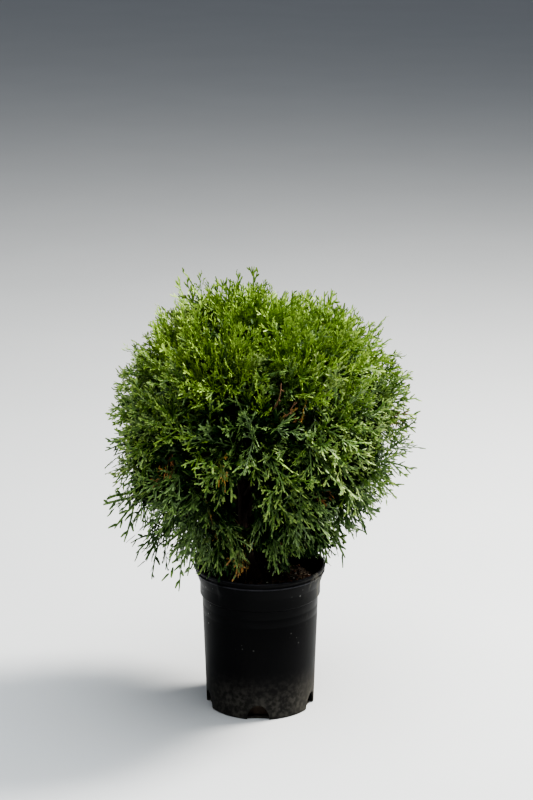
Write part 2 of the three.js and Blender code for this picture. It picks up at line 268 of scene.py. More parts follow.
# %% Heaps and meshes
def new_piece(name, points, faces, materials, tints=0, smooth=False):
    """One object from points in millimetres and faces that all have as many corners."""
    mesh = bpy.data.meshes.new(name)
    mesh.vertices.add(len(points))
    mesh.vertices.foreach_set("co", (np.asarray(points) * MM).astype(np.float32).ravel())
    mesh.loops.add(faces.size)
    mesh.loops.foreach_set("vertex_index", faces.astype(np.int32).ravel())
    mesh.polygons.add(len(faces))
    mesh.polygons.foreach_set("loop_start", np.arange(0, faces.size, faces.shape[1], dtype=np.int32))
    for material in materials:
        mesh.materials.append(material)
    mesh.polygons.foreach_set("material_index", np.broadcast_to(tints, len(faces)).astype(np.int32))
    mesh.polygons.foreach_set("use_smooth", np.full(len(faces), smooth))
    mesh.update()
    mesh.validate()
    piece = bpy.data.objects.new(name, mesh)
    bpy.context.scene.collection.objects.link(piece)
    return piece


def finish_piece(piece, nodes):
    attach(piece, "root")
    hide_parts(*nodes)
    piece.data.calc_loop_triangles()
    print(f"{piece.name}: {len(piece.data.loop_triangles)} triangles")


class Heap:
    """Points, faces and tints of one kind of thing, gathered for one mesh."""

    def __init__(self):
        self.points, self.faces, self.tints, self.total = [], [], [], 0

    def add(self, points, faces, tints=0):
        self.points.append(points)
        self.faces.append(faces + self.total)
        self.tints.append(np.broadcast_to(tints, len(faces)))
        self.total += len(points)

    def piece(self, name, materials, smooth=False):
        parts = (np.concatenate(part) for part in (self.points, self.faces))
        return new_piece(name, *parts, materials, np.concatenate(self.tints), smooth)


# %% Tubes
STEEP = 0.8  # a heading counts as steep where its upright share is over this


def unit(vector):
    return vector / np.linalg.norm(vector)


def ring_angles(sides):
    return np.arange(sides) * 2 * math.pi / sides


def grid_faces(rings, sides):
    """Quads between the rings of a tube, each ring with as many points as it has sides."""
    ring, side = np.meshgrid(np.arange(rings - 1), np.arange(sides), indexing="ij")
    following = (side + 1) % sides
    corners = [ring * sides + side, ring * sides + following]
    corners += [corner + sides for corner in reversed(corners)]
    return np.stack(corners, -1).reshape(-1, 4)


def tube(path, radii, sides):
    """A round limb along a path, with the rings square to it."""
    path = np.asarray(path)
    tangents = np.gradient(path, axis=0)
    tangents /= np.linalg.norm(tangents, axis=1, keepdims=True)
    across = RIGHT if abs(tangents[0][2]) > STEEP else UP
    side = across - tangents * (tangents @ across)[:, None]
    side /= np.linalg.norm(side, axis=1, keepdims=True)
    other = np.cross(tangents, side)
    turn = ring_angles(sides)
    rim = side[:, None] * np.cos(turn)[:, None] + other[:, None] * np.sin(turn)[:, None]
    points = path[:, None] + rim * np.asarray(radii).reshape(len(path), -1, 1)
    return points.reshape(-1, 3), grid_faces(len(path), sides)


# %% [markdown]
# ## The pot
# A nursery pot is moulded from thin black plastic: a tapered wall with two shallow grooves, a band, a
# flared collar and a rolled lip. It could be pulled out of a cylinder ring by ring, but anything
# turned on an axis is quickest as a profile spun round it, and then the numbers in the profile are
# the pot's own sizes. The lip's two beads are arcs in the profile, so they catch the light as real
# ones do.

# %% Pot profile
POT = {
    "foot_radius": 68.5, "wall_radius": 73.4, "wall_top": 146, "band_radius": 76, "band_foot": 149,
    "band_top": 163, "collar_radius": 80.2, "collar_top": 175, "wall": 2, "floor": 2.5,
}
FOOT_ROUND = 2
BEADS = {  # the rounded edges: centre, size, first and last angle in degrees, and points
    "foot": (POT["foot_radius"] - FOOT_ROUND, FOOT_ROUND, FOOT_ROUND, -75, 0, 6),
    "band": (POT["band_radius"] - 1.2, POT["band_foot"] - 0.2, 1.2, -55, 0, 4),
    "low": (LIP_RADIUS - 2.4, POT["collar_top"] + 3, 1.6, -80, 70, 6),
    "lip": (LIP_RADIUS - 1.9, POT_HEIGHT - 1.9, 1.9, -60, 150, 9),
}
# How far the profile's points stand back from the sizes above
SETBACK = {"foot": 3, "edge": 1, "band": 0.3, "collar": 0.4, "in_lip": 4.4, "under_lip": 3.5}
GROOVES = {"heights": (124, 135), "depth": 0.3, "half_width": 1.1}


def arc(radius, height, size, start, end, steps):
    """Profile points on a bead of a given size, from one angle to another."""
    angles = np.radians(np.linspace(start, end, steps))
    return [(radius + size * math.cos(a), height + size * math.sin(a)) for a in angles]


def wall_radius(height):
    share = (height - FOOT_ROUND) / (POT["wall_top"] - FOOT_ROUND)
    return POT["foot_radius"] + (POT["wall_radius"] - POT["foot_radius"]) * share


def groove(height):
    steps = ((-1, 0), (0, 1), (1, 0))
    width, depth = GROOVES["half_width"], GROOVES["depth"]
    return [(wall_radius(height) - cut * depth, height + step * width) for step, cut in steps]


def pot_profile():
    """Radius and height round the wall's section, up the outside and down the inside."""
    wall, edge = POT["wall"], SETBACK["edge"]
    outside = [(0, 0), (POT["foot_radius"] - SETBACK["foot"], 0), *arc(*BEADS["foot"])]
    for height in GROOVES["heights"]:
        outside += groove(height)
    outside += [(POT["wall_radius"], POT["wall_top"]), *arc(*BEADS["band"])]
    outside += [(POT["band_radius"], POT["band_top"] - edge)]
    outside += [(POT["band_radius"] + SETBACK["band"], POT["band_top"])]
    outside += [(POT["collar_radius"] - SETBACK["collar"], POT["collar_top"] - edge)]
    outside += arc(*BEADS["low"]) + arc(*BEADS["lip"])
    inside = [(LIP_RADIUS - SETBACK["in_lip"], POT_HEIGHT - SETBACK["under_lip"])]
    inside += [(POT["band_radius"] - wall, POT["band_top"]), (POT["band_radius"] - wall, POT["band_foot"])]
    inside += [(POT["wall_radius"] - wall, POT["wall_top"]), (POT["foot_radius"] - wall, POT["floor"])]
    return outside + inside + [(0, POT["floor"])]


print("points in the pot's profile:", len(pot_profile()))

# %% Pot body
def as_object(name, shape):
    """The object that holds a finished bmesh."""
    mesh = bpy.data.meshes.new(name)
    shape.to_mesh(mesh)
    shape.free()
    made = bpy.data.objects.new(name, mesh)
    bpy.context.scene.collection.objects.link(made)
    return made


def spun(name, profile, steps):
    """The closed surface that a profile makes when it turns once round the Z axis."""
    shape = bmesh.new()
    points = [shape.verts.new((radius * MM, 0, height * MM)) for radius, height in profile]
    edges = [shape.edges.new(pair) for pair in zip(points, points[1:])]
    turn = {"axis": (0, 0, 1), "cent": (0, 0, 0), "angle": 2 * math.pi, "steps": steps}
    bmesh.ops.spin(shape, geom=points + edges, use_merge=True, **turn)
    bmesh.ops.remove_doubles(shape, verts=shape.verts, dist=1e-6)
    bmesh.ops.recalc_face_normals(shape, faces=shape.faces)
    return as_object(name, shape)


pot = spun("pot_body", pot_profile(), 144)
print("points on the pot:", len(pot.data.vertices))

# %% [markdown]
# ### The drain notches
# Water leaves through arched notches where the wall meets the floor. A notch is not part of the
# turned shape, so it is cut: a solid arch stands through the wall at each notch, and a Boolean
# modifier takes it out of the pot. Five arches spread evenly show three from the front.

# %% Drain notches
DRAIN = {"count": 5, "width": 28, "height": 20, "depth": 12, "first": -2, "arch": 20}


def arch_outline():
    half, height, steps = DRAIN["width"] / 2, DRAIN["height"], DRAIN["arch"]
    outline = [(half * math.cos(math.pi * i / steps), height * math.sin(math.pi * i / steps))
               for i in range(steps + 1)]
    return outline + [(-half, -height), (half, -height)]


def arch_cutter(index):
    outline = arch_outline()
    count = len(outline)
    near = POT["foot_radius"] + DRAIN["depth"] / 2
    points = [(x, -near + depth, z) for depth in (0, DRAIN["depth"]) for x, z in outline]
    turn = math.radians(DRAIN["first"] + 360 * index / DRAIN["count"])
    shape = bmesh.new()
    corners = [shape.verts.new((x * MM, y * MM, z * MM)) for x, y, z in points]
    for i in range(count):
        following = (i + 1) % count
        shape.faces.new([corners[k] for k in (i, following, following + count, i + count)])
    shape.faces.new(corners[:count])
    shape.faces.new(corners[count:])
    bmesh.ops.recalc_face_normals(shape, faces=shape.faces)
    bmesh.ops.rotate(shape, verts=shape.verts, matrix=Matrix.Rotation(turn, 3, "Z"))
    return as_object("arch", shape)


def cut(piece, cutters):
    """Take each cutter out of the piece, and keep only the result."""
    for cutter in cutters:
        modifier = piece.modifiers.new("cut", "BOOLEAN")
        modifier.object = cutter
        modifier.solver = "EXACT"
    bpy.context.view_layer.update()
    result = piece.evaluated_get(bpy.context.evaluated_depsgraph_get())
    before = len(piece.data.vertices)
    piece.data = bpy.data.meshes.new_from_object(result)
    print(f"{piece.name}: {before} points before the cuts and {len(piece.data.vertices)} after")
    piece.modifiers.clear()
    for cutter in cutters:
        bpy.data.objects.remove(cutter)


cut(pot, [arch_cutter(i) for i in range(DRAIN["count"])])
pot.data.shade_smooth()
pot.data.set_sharp_from_angle(angle=math.radians(32))

# %% [markdown]
# ### The pot's finish
# The plastic is black with a soft sheen. Splashed soil dries to a grey brown film that is thickest at
# the foot and wiped in places. On the right the foot is painted paler still, as painted light. The
# crests of the lip's two beads are painted grey as a painted highlight. Handling leaves pale smears
# high on the right, and specks of lime dot the upper wall. An image could hold all this, but masks
# made of noise, height and side need no file and never blur: each is a number from 0 to 1 that mixes
# in one colour, and dust is both paler and rougher than clean plastic.

# %% Masks of dirt and wear
def dust_and_painted_light_mask(start):
    """1 where the foot is caked with dust, fading with height in patches; the share added on the right is
    painted light.
    """
    low = 1 - between(place_mm(start, "Z"), 8, 66)
    patches = between(grain(start, 170, 12.0), 0.36, 0.70)
    # painted light: the right side of the foot is made paler, as if lit
    right = between(place_mm(start, "X"), 30, 68)
    return low * (patches * 0.7 + 0.2 + 0.5 * right)


def scuff_mask(start):
    """Thin upright wipes and scratches in the film."""
    streaks = between(grain(start, 60, 4.0, (1, 1, 0.12)), 0.56, 0.74)
    patches = between(grain(start, 11, 2.0), 0.48, 0.66)
    return streaks * patches


def smear_mask(start):
    """Pale smears of dried soil high on the right side, where the pot was held."""
    smears = between(grain(start, 130, 5.0, (1, 1, 0.4)), 0.50, 0.60)
    held = between(place_mm(start, "Z"), 96, 130)
    patches = between(grain(start, 26, 3.0), 0.42, 0.56)
    return smears * patches * held * between(place_mm(start, "X"), 52, 72)


def speck_mask(start):
    """Small faint dots of lime on the upper wall."""
    dots = 1 - between(cells(start, 130), 0.08, 0.2)
    chosen = between(grain(start, 21, 2.0), 0.54, 0.64)
    return dots * chosen * between(place_mm(start, "Z"), 80, 120)


def painted_lip_highlight(start):
    """1 on the crests of the lip's two beads, where a grey highlight is painted."""
    height = place_mm(start, "Z")
    upper = between(height, POT_HEIGHT - 1.8, POT_HEIGHT - 0.6)
    lower = 1 - between(start.maths("ABSOLUTE", height - BEADS["low"][1]), 0.4, 1.3)
    return (upper + lower) * between(grain(start, 44), 0.3, 0.6)


# %% Black plastic
def pot_colour(start):
    clean = mixed(grain(start, 8), (0.0015, 0.0015, 0.0018), (0.003, 0.003, 0.0035))
    scuffed = mixed(scuff_mask(start) * 0.4, clean, (0.06, 0.06, 0.06))
    # painted highlight: the crests of the lip's beads are mixed towards a pale blue grey
    lip_highlighted = mixed(painted_lip_highlight(start) * 0.3, scuffed, (0.10, 0.10, 0.12))
    smeared = mixed(smear_mask(start) * 0.5, lip_highlighted, (0.16, 0.152, 0.13))
    # dust, and on the right painted light
    dusty_and_lit = mixed(dust_and_painted_light_mask(start) * 0.7, smeared, (0.070, 0.066, 0.058))
    return mixed(speck_mask(start) * 0.3, dusty_and_lit, (0.4, 0.4, 0.38))


def pot_roughness(start):
    return 0.34 + 0.12 * grain(start, 24) + 0.3 * dust_and_painted_light_mask(start) + 0.2 * smear_mask(start)


def pot_relief(start):
    return bump(grain(start, 55, 4.0) + 0.6 * dust_and_painted_light_mask(start), 0.25, 0.0006)


SHEEN = {"Specular_IOR_Level": 0.05}
BLACK_PLASTIC = new_material("black plastic", pot_colour, pot_roughness, pot_relief, **SHEEN)
pot.data.materials.append(BLACK_PLASTIC)
finish_piece(pot, ["pot"])

# %% [markdown]
# ## The potting mix
# Potting mix is crumbs of peat and composted bark. A lumpy surface made of rings fills the pot, and
# several hundred separate chips, stuck in at all angles, give it the broken look that a bump map
# can't: they cast shadows and stand out of the surface. The surface goes on down inside the pot, and
# stands back from the notches, where the mix has washed out.

# %% Mix surface
MIX = {"rings": 34, "sides": 96, "hub": 0.5, "top_gap": 1, "crumble_radius": 62, "crumble_drop": 5,
       "gap": 0.3, "washed_out": 11, "over_hole": 4, "slope": 6}
LUMPS = {"height": 3.0, "broad": 17, "fine": 4}


def mix_height(x, y):
    """The mix's lumpy top, which has crumbled down near the wall."""
    radius = math.hypot(x, y)
    rim = POT["band_radius"] - POT["wall"]
    edge = max(0.0, (radius - MIX["crumble_radius"]) / (rim - MIX["crumble_radius"]))
    broad = noise.noise(Vector((x, y, 0)) / LUMPS["broad"])
    fine = noise.noise(Vector((x, y, 9)) / LUMPS["fine"])
    lumps = LUMPS["height"] * (0.5 * broad + 0.3 * fine - 0.2)
    return MIX_TOP - MIX["top_gap"] - MIX["crumble_drop"] * edge + lumps


def mix_profile():
    """Radius and height of the rings down the outside: it is washed out behind the notches."""
    inner = POT["wall"] + MIX["gap"]
    floor = POT["floor"] + MIX["gap"]
    hole_top = DRAIN["height"] + MIX["over_hole"]
    washed = POT["foot_radius"] - inner - MIX["washed_out"]
    return [(POT["band_radius"] - inner, POT["band_foot"]), (POT["wall_radius"] - inner, POT["wall_top"]),
            (wall_radius(hole_top) - inner, hole_top), (washed, hole_top - MIX["slope"]),
            (washed, floor), (MIX["hub"], floor)]


def mix_surface():
    turns = ring_angles(MIX["sides"])
    rim = POT["band_radius"] - POT["wall"] - MIX["gap"]
    rings = []
    for radius in np.linspace(MIX["hub"], rim, MIX["rings"]):
        rings.append([(radius * math.cos(a), radius * math.sin(a)) for a in turns])
    top = [(x, y, mix_height(x, y)) for ring in rings for x, y in ring]
    below = [(radius * math.cos(a), radius * math.sin(a), z) for radius, z in mix_profile() for a in turns]
    return np.array(top + below), grid_faces(MIX["rings"] + len(mix_profile()), MIX["sides"])


print("faces of the mix's surface:", len(mix_surface()[1]))

# %% Chips and specks
CHIPS = {"seed": 31, "bark": 620, "pale": 26, "least_radius": 13, "from_wall": 4,
         "grit": (1.6, 3.0), "length": (4, 11), "flat": (1, 0.5, 0.3), "sunk": (-0.1, 0.25)}
CHIP_SHARES = (0.5, 0.32, 0.18)  # of dark, red and dry chips
SHAPE = np.array([(-1, -1, -1), (1, -0.8, -1), (0.8, 1, -1), (-0.9, 0.9, -1),
                  (-0.8, -0.9, 1), (0.9, -1, 1), (1, 0.7, 1), (-1, 0.8, 1)]) / 2
SHAPE_FACES = np.array([(0, 3, 2, 1), (4, 5, 6, 7), (0, 1, 5, 4), (1, 2, 6, 5), (2, 3, 7, 6), (3, 0, 4, 7)])


def random_turn(rng):
    """A matrix that turns by any angle about any axis."""
    axis = unit(rng.normal(size=3))
    angle = rng.uniform(0, 2 * math.pi)
    cross = np.cross(np.eye(3), axis) * math.sin(angle)
    return np.eye(3) * math.cos(angle) + (1 - math.cos(angle)) * np.outer(axis, axis) + cross


def chip(rng, size):
    """A broken flake: a box with its corners knocked about and turned any way."""
    rough = SHAPE * (1 + rng.uniform(-0.35, 0.35, SHAPE.shape))
    return (rough * size) @ random_turn(rng)


def chip_size(rng, pale):
    if pale:
        return rng.uniform(*CHIPS["grit"], 3)
    return rng.uniform(0.5, 1, 3) * rng.uniform(*CHIPS["length"]) * CHIPS["flat"]


def scatter_chips():
    heap = Heap()
    rng = np.random.default_rng(CHIPS["seed"])
    rim = POT["band_radius"] - POT["wall"] - CHIPS["from_wall"]
    for index in range(CHIPS["bark"] + CHIPS["pale"]):
        radius = math.sqrt(rng.uniform(CHIPS["least_radius"] ** 2, rim ** 2))
        turn = rng.uniform(0, 2 * math.pi)
        place = np.array([radius * math.cos(turn), radius * math.sin(turn), 0])
        pale = index >= CHIPS["bark"]
        size = chip_size(rng, pale)
        place[2] = mix_height(place[0], place[1]) + rng.uniform(*CHIPS["sunk"]) * size[1]
        tint = 1 + (len(CHIP_SHARES) if pale else rng.choice(len(CHIP_SHARES), p=CHIP_SHARES))
        heap.add(chip(rng, size) + place, SHAPE_FACES, tint)
    return heap


print(f"chips: {CHIPS['bark']} of bark and {CHIPS['pale']} pale specks")

# %% [markdown]
# ### The finish of the crumbs
# Wet peat is almost black, fresh bark is red brown and dry bark is paler, and all of it is rough and
# dull. An image of soil would repeat, and blur this close. Instead each sort has a dark and a light
# colour, mixed by a noise as fine as its grains, and a bump of the same size.

# %% Crumbly materials
def crumb_material(name, dark, light):
    return new_material(
        name,
        lambda start: mixed(grain(start, 320, 4.0), dark, light),
        lambda start: 0.8 + 0.15 * grain(start, 200),
        lambda start: bump(grain(start, 420, 4.0), 0.7, 0.0008),
    )


CRUMBS = [  # the surface first, then the three sorts of chip and the specks
    crumb_material("wet peat", (0.010, 0.006, 0.004), (0.055, 0.033, 0.020)),
    crumb_material("dark bark chip", (0.016, 0.009, 0.006), (0.055, 0.031, 0.02)),
    crumb_material("red bark chip", (0.06, 0.022, 0.011), (0.17, 0.065, 0.032)),
    crumb_material("dry bark chip", (0.10, 0.068, 0.045), (0.25, 0.18, 0.12)),
    crumb_material("pale grit", (0.42, 0.40, 0.37), (0.72, 0.70, 0.66)),
]
mix_heap = scatter_chips()
mix_heap.add(*mix_surface(), 0)
finish_piece(mix_heap.piece("mix_and_chips", CRUMBS), ["potting_mix"])

# %% [markdown]
# ## The shape of the plant
# The solids were grown by a rule, and the fine plant grows by the same one: boughs leave the trunk in
# rings, each ends in the stem of one mass, and the tips of the sprays are spread evenly over the
# crown's outline by the golden angle. Using the same seeds puts every twig where its solid is. A
# plant could also be modelled by hand from a few sprays, but then it is only as full as one's
# patience, and a change to its outline means starting again.

# %% Seeds and driving dimensions
GOLDEN_ANGLE = math.pi * (3 - math.sqrt(5))
TOP_START = 50
HUB = np.array([-8, 0, TRUNK_TIP - TOP_START])
CENTRE = np.array([-2, 0, 370])
TRUNK = {"foot": (-9, -2), "lean": (-37, -6), "flare": 4.4, "flare_height": 16, "radius": 7.6, "tip": 2.4}
BOUGH = {"radius": 3.2, "tip": 1.9, "sweep": 16, "seat": 0.7}
STEM = {"radius": 1.8, "tip": 1.2, "reach": 140, "rings": 6, "sides": 7}
CROWN = {"radius": 187, "ragged": 0.1, "tips": 238, "turn": 2, "jitter": 0.1, "lowest": -0.93}
LOBES = [  # where the outline swells or dips: a direction, millimetres and a half width in degrees
    ((-0.62, -0.2, -0.75), 54, 28), ((0.15, -0.5, -0.85), 14, 22), ((-0.43, -0.05, 0.9), 26, 14),
    ((0.0, 0.05, 1.0), 8, 9), ((0.2, -0.1, 0.97), -22, 10), ((-0.27, -0.15, 0.95), -14, 8),
    ((0.98, -0.05, 0.2), 16, 24), ((0.25, 0.8, -0.5), 14, 26), ((-0.5, 0.8, 0.3), 7, 22),
]
RINGS = [  # name, polar angle, first azimuth, how many, start, height on the trunk, stagger
    ("top", 0, 0, 1, TOP_START, 0, 0), ("upper", 41, 20, 5, 58, 352, 22),
    ("middle", 75, -95, 7, 62, 320, 26), ("lower", 106, -72, 7, 60, 291, 24),
    ("skirt", 138, -128, 6, 56, 257, 22),
]


def seeded(seed):
    """One number after another from a seed, the same on every run."""
    state = seed * 2654435761 % 2 ** 32
    while True:
        state = (state * 1664525 + 1013904223) % 2 ** 32
        yield state / 2 ** 32


print(f"crown {2 * CROWN['radius']} mm across before its lobes, with {CROWN['tips']} tips all round")

# %% Trunk and boughs as curves
def trunk_share(height):
    return np.clip((height - TRUNK_FOOT) / (TRUNK_TIP - TRUNK_FOOT), 0, 1)


def curved(start, control, end, share):
    """A point on the curve that leaves start towards control and arrives at end from it."""
    share = np.asarray(share)[..., None]
    return start * (1 - share) ** 2 + 2 * control * share * (1 - share) + end * share ** 2


def trunk_at(share):
    foot = np.array([*TRUNK["foot"], TRUNK_FOOT])
    lean = np.array([*TRUNK["lean"], (TRUNK_FOOT + TRUNK_TIP) / 2])
    return curved(foot, lean, np.array([HUB[0], HUB[1], TRUNK_TIP]), share)


def trunk_radius(share):
    height = share * (TRUNK_TIP - TRUNK_FOOT)
    flare = TRUNK["flare"] * np.exp(-height / TRUNK["flare_height"])
    return TRUNK["radius"] + (TRUNK["tip"] - TRUNK["radius"]) * share + flare


def outward_at(azimuth):
    """The level direction away from the pot's axis at an azimuth."""
    return np.array([math.cos(azimuth), math.sin(azimuth), 0])


def list_masses():
    """The masses of foliage from the top down, each with its axis and its bough's height on the trunk."""
    masses = []
    for ring, polar, first, count, start, leaves, stagger in RINGS:
        for i in range(count):
            slant = math.radians(polar)
            outward = outward_at(math.radians(first + 360 * i / count))
            axis = UP * math.cos(slant) + outward * math.sin(slant)
            name = f"{ring}_{i + 1}" if count > 1 else ring
            height = leaves + ((2 * i) % count / count - 0.5) * stagger
            mass = {"name": name, "ring": ring, "axis": axis, "leaves": height, "start": start, "tips": []}
            masses.append(mass)
    return masses


def bough_curve(mass):
    end = HUB + mass["axis"] * mass["start"]
    bend = end - mass["axis"] * BOUGH["sweep"]
    share = trunk_share(mass["leaves"])
    middle = trunk_at(share)
    outward = unit((bend - middle) * (1, 1, 0))
    rise = bend[2] - middle[2]
    slope = abs(rise) / math.hypot(rise, np.linalg.norm(bend - middle))
    start = middle + outward * (trunk_radius(share) + BOUGH["seat"] + BOUGH["radius"] * slope)
    return start, bend, end


MASSES = list_masses()
print("masses of foliage:", len(MASSES))

# %% [markdown]
# ## Bark
# Thuja bark peels in long stringy fibres, so its relief is noise that is fine round the limb and long
# along it. A bump map would do from afar, but the trunk shows in a gap above the pot, so it is real
# geometry here: the rings of each limb are pushed in and out, deeper on the old trunk than on the
# boughs, and a root flare widens the foot.

# %% Limbs with relief
BARK = {"trunk_sides": 56, "trunk_rings": 150, "bough_sides": 16, "bough_rings": 26, "depth": 0.11,
        "bough_share": 0.7}
FIBRE = {"across": 3.2, "along": 22, "lean": 40, "twist": 45, "fine_across": 2.7, "fine_along": 3}


def fibres(path, sides, depth):
    """How far each point of a limb's rings stands in or out, as shares of its radius."""
    relief = np.empty((len(path), sides))
    for ring, point in enumerate(path):
        twist = point[2] / FIBRE["twist"]
        along = Vector((0, 0, point[2] / FIBRE["along"] + point[0] / FIBRE["lean"]))
        for side, turn in enumerate(ring_angles(sides)):
            round_it = Vector((math.cos(turn + twist), math.sin(turn + twist), 0)) * FIBRE["across"]
            ridge = 1 - 2 * abs(noise.noise(round_it + along))
            fine = noise.noise(round_it * FIBRE["fine_across"] + along * FIBRE["fine_along"])
            relief[ring, side] = ridge * 0.7 + 0.3 * fine
    return 1 + depth * (relief - 0.5)


def barked_limb(path, radii, sides, depth):
    return tube(path, np.asarray(radii)[:, None] * fibres(path, sides, depth), sides)


def grow_bark():
    heap = Heap()
    shares = np.linspace(0, 1, BARK["trunk_rings"])
    heap.add(*barked_limb(trunk_at(shares), trunk_radius(shares), BARK["trunk_sides"], BARK["depth"]))
    shares = np.linspace(0, 1, BARK["bough_rings"])
    radii = BOUGH["radius"] + (BOUGH["tip"] - BOUGH["radius"]) * shares
    for mass in MASSES[1:]:
        path = curved(*bough_curve(mass), shares)
        heap.add(*barked_limb(path, radii, BARK["bough_sides"], BARK["depth"] * BARK["bough_share"]))
    return heap


print("points on the trunk's bark:", BARK["trunk_rings"] * BARK["trunk_sides"])

# %% [markdown]
# ### The finish of the bark
# The bark is a dark brown that is streaked along its fibres, and weather has greyed it in patches. A
# noise that is drawn out along the limb makes the streaks, and a broad one mixes in the grey. Both
# are laid in the plant's own space, so no limb needs to be unwrapped for an image.

# %% Bark finish
def bark_colour(start):
    streaks = grain(start, 420, 5.0, (1, 1, 0.12))
    weathered = mixed(streaks, (0.020, 0.011, 0.007), (0.12, 0.065, 0.042))
    return mixed(between(grain(start, 60), 0.5, 0.7) * 0.4, weathered, (0.14, 0.11, 0.09))


BARK_FINISH = new_material(
    "fibrous bark",
    bark_colour,
    lambda start: 0.72 + 0.2 * grain(start, 300),
    lambda start: bump(grain(start, 500, 5.0, (1, 1, 0.1)), 0.8, 0.0008),
)
limbs = ["trunk"] + [f"bough_{mass['name']}" for mass in MASSES[1:]]
finish_piece(grow_bark().piece("trunk_and_boughs", [BARK_FINISH], smooth=True), limbs)

# %% [markdown]
# ## The crown's tips
# The golden angle never repeats, so tips dealt by it crowd nowhere. Each is set at the crown's own
# outline in its direction, which swells into the low skirt on the left and dips beside the top, and
# belongs to the mass whose axis is nearest. Three more tips close a gap between two masses high on
# the front, where chance left one.

# %% Deal the tips
GAP_TIPS = [(8, -104, 506), (-8, -114, 484), (18, -122, 468)]


def swell_at(direction, lobes):
    """The millimetres that lobes add to the outline in a direction."""
    total = 0
    for towards, swell, spread in lobes:
        angle = math.acos(min(1, float(direction @ unit(np.array(towards)))))
        total += swell * math.exp(-(angle / math.radians(spread)) ** 2)
    return total


def outline_radius(direction):
    return CROWN["radius"] + swell_at(direction, LOBES)


def deal_tips():
    for i in range(CROWN["tips"]):
        numbers = seeded(i + 1)
        height = 1 - 2 * (i + 0.5) / CROWN["tips"]
        if height < CROWN["lowest"]:
            break
        azimuth = CROWN["turn"] + GOLDEN_ANGLE * i + (next(numbers) - 0.5) * CROWN["jitter"]
        level = math.sqrt(1 - height ** 2)
        direction = np.array([level * math.cos(azimuth), level * math.sin(azimuth), height])
        tip = CENTRE + direction * outline_radius(direction) * (1 - CROWN["ragged"] * next(numbers))
        give_tip(tip, i + 1)
    for seed, tip in enumerate(GAP_TIPS, CROWN["tips"] + 1):
        give_tip(np.array(tip, float), seed)


def give_tip(tip, seed):
    nearest = max(MASSES, key=lambda mass: mass["axis"] @ unit(tip - HUB))
    nearest["tips"].append((tip, seed))


deal_tips()
print("tips of each mass:", [len(mass["tips"]) for mass in MASSES])

# %% [markdown]
# ## One fan of foliage
# Thuja leaves are tiny scales that clothe flat branchlets. What the eye sees is a fan: an axis with
# side branches on alternate sides, each with short blunt branchlets, all nearly in one plane. A
# picture of a fan on a card is the usual shortcut, but it is flat and blurs up close. Here a fan is
# made of flat ribbons whose edges step in and out where scales overlap, each a little tilted and
# waved. Open fans are broad and lacy, for the sides and the skirt. Erect ones are narrow, for the
# top. The plain ones that fill the inside have few faces. Ten different fans of each kind are enough,
# because each one is bent, rolled and scaled afresh when it is laid on the plant.

# %% Ribbons
FAN = {"length": 62, "reach": 34, "drawn": 10, "first_seed": 11}
MEASURES = ("spread", "angle", "width", "spacing", "gap", "scale", "short")
FAN_KINDS = {  # width, branching angle, ribbon width, steps on axis, branch and ribbon, short ribbons
    "open": (1.0, 0.86, 2.4, 6.8, 7.0, 3.2, 9.4),
    "erect": (0.76, 0.68, 1.95, 5.2, 4.8, 3.0, 8.2),
    "fill": (0.85, 0.70, 2.6, 4.6, 4.2, 6, 7.5),
    "inner": (1.0, 0.78, 4.4, 5.0, 5.4, 9, 7.5),
}
RIBBON = {"bulge": 0.5, "waist": 0.38, "root": 0.7, "tip": 0.27, "tilt": 0.8, "wave": (0.1, 0.35)}


def strip_faces(sections):
    """Two triangles between each pair of a ribbon's sections."""
    first = np.arange(sections - 1)
    upper = np.stack([first, first + sections, first + 1], 1)
    lower = np.stack([first + 1, first + sections, first + sections + 1], 1)
    return np.stack([upper, lower], 1).reshape(-1, 3)


def ribbon(rng, start, angle, rise, length, curl, kind):
    """A flat branchlet in the fan's plane: its centre line, its angle along it, points and faces."""
    sections = max(2, round(length / kind["scale"]) + 1)
    odd = np.arange(sections) % 2 == 1
    turning = angle + curl * np.linspace(0, 1, sections)
    stride = length / (sections - 1)
    ahead = np.stack([np.cos(turning), np.sin(turning), np.full(sections, rise)], 1)
    line = np.vstack([np.zeros(3), np.cumsum(ahead[:-1] * stride, axis=0)]) + start
    half = np.where(odd, RIBBON["bulge"], RIBBON["waist"]) * kind["width"]
    half[0] *= RIBBON["root"]
    half[-1] = RIBBON["tip"] * kind["width"]
    tilt = rng.uniform(-RIBBON["tilt"], RIBBON["tilt"])
    wave = rng.uniform(*RIBBON["wave"]) * np.where(odd, 1, -1)
    side = np.stack([-np.sin(turning), np.cos(turning), np.full(sections, tilt)], 1) * half[:, None]
    crest = line + UP * wave[:, None]
    return line, turning, np.vstack([crest + side, crest - side]), strip_faces(sections)


def point_on(line, turning, share):
    place = share * (len(line) - 1)
    index = min(int(place), len(line) - 2)
    return line[index] + (line[index + 1] - line[index]) * (place - index), turning[index]


widths = {name: measures[MEASURES.index("width")] for name, measures in FAN_KINDS.items()}
print("width of the ribbons in mm:", widths)

# %% Fans
AXIS = {"shoots": (0.06, 0.95), "bow": 0.3, "young": 0.8, "branches_to": 0.85}
BRANCH = {"uneven": 0.015, "rise": 0.2, "bow": 0.5, "young": 0.6}
BRANCHLET = {"shoots": (0.24, 0.92), "angle": 0.95, "rise": 0.25, "bow": 0.25, "young": 0.35,
             "least": 4.0, "growth": 0.4}


def fan_reach(share):
    """How long a side branch is along the fan: longest a third of the way up, short at the tip."""
    return math.sin(math.pi * min(1, 0.27 + 0.68 * share)) ** 0.8


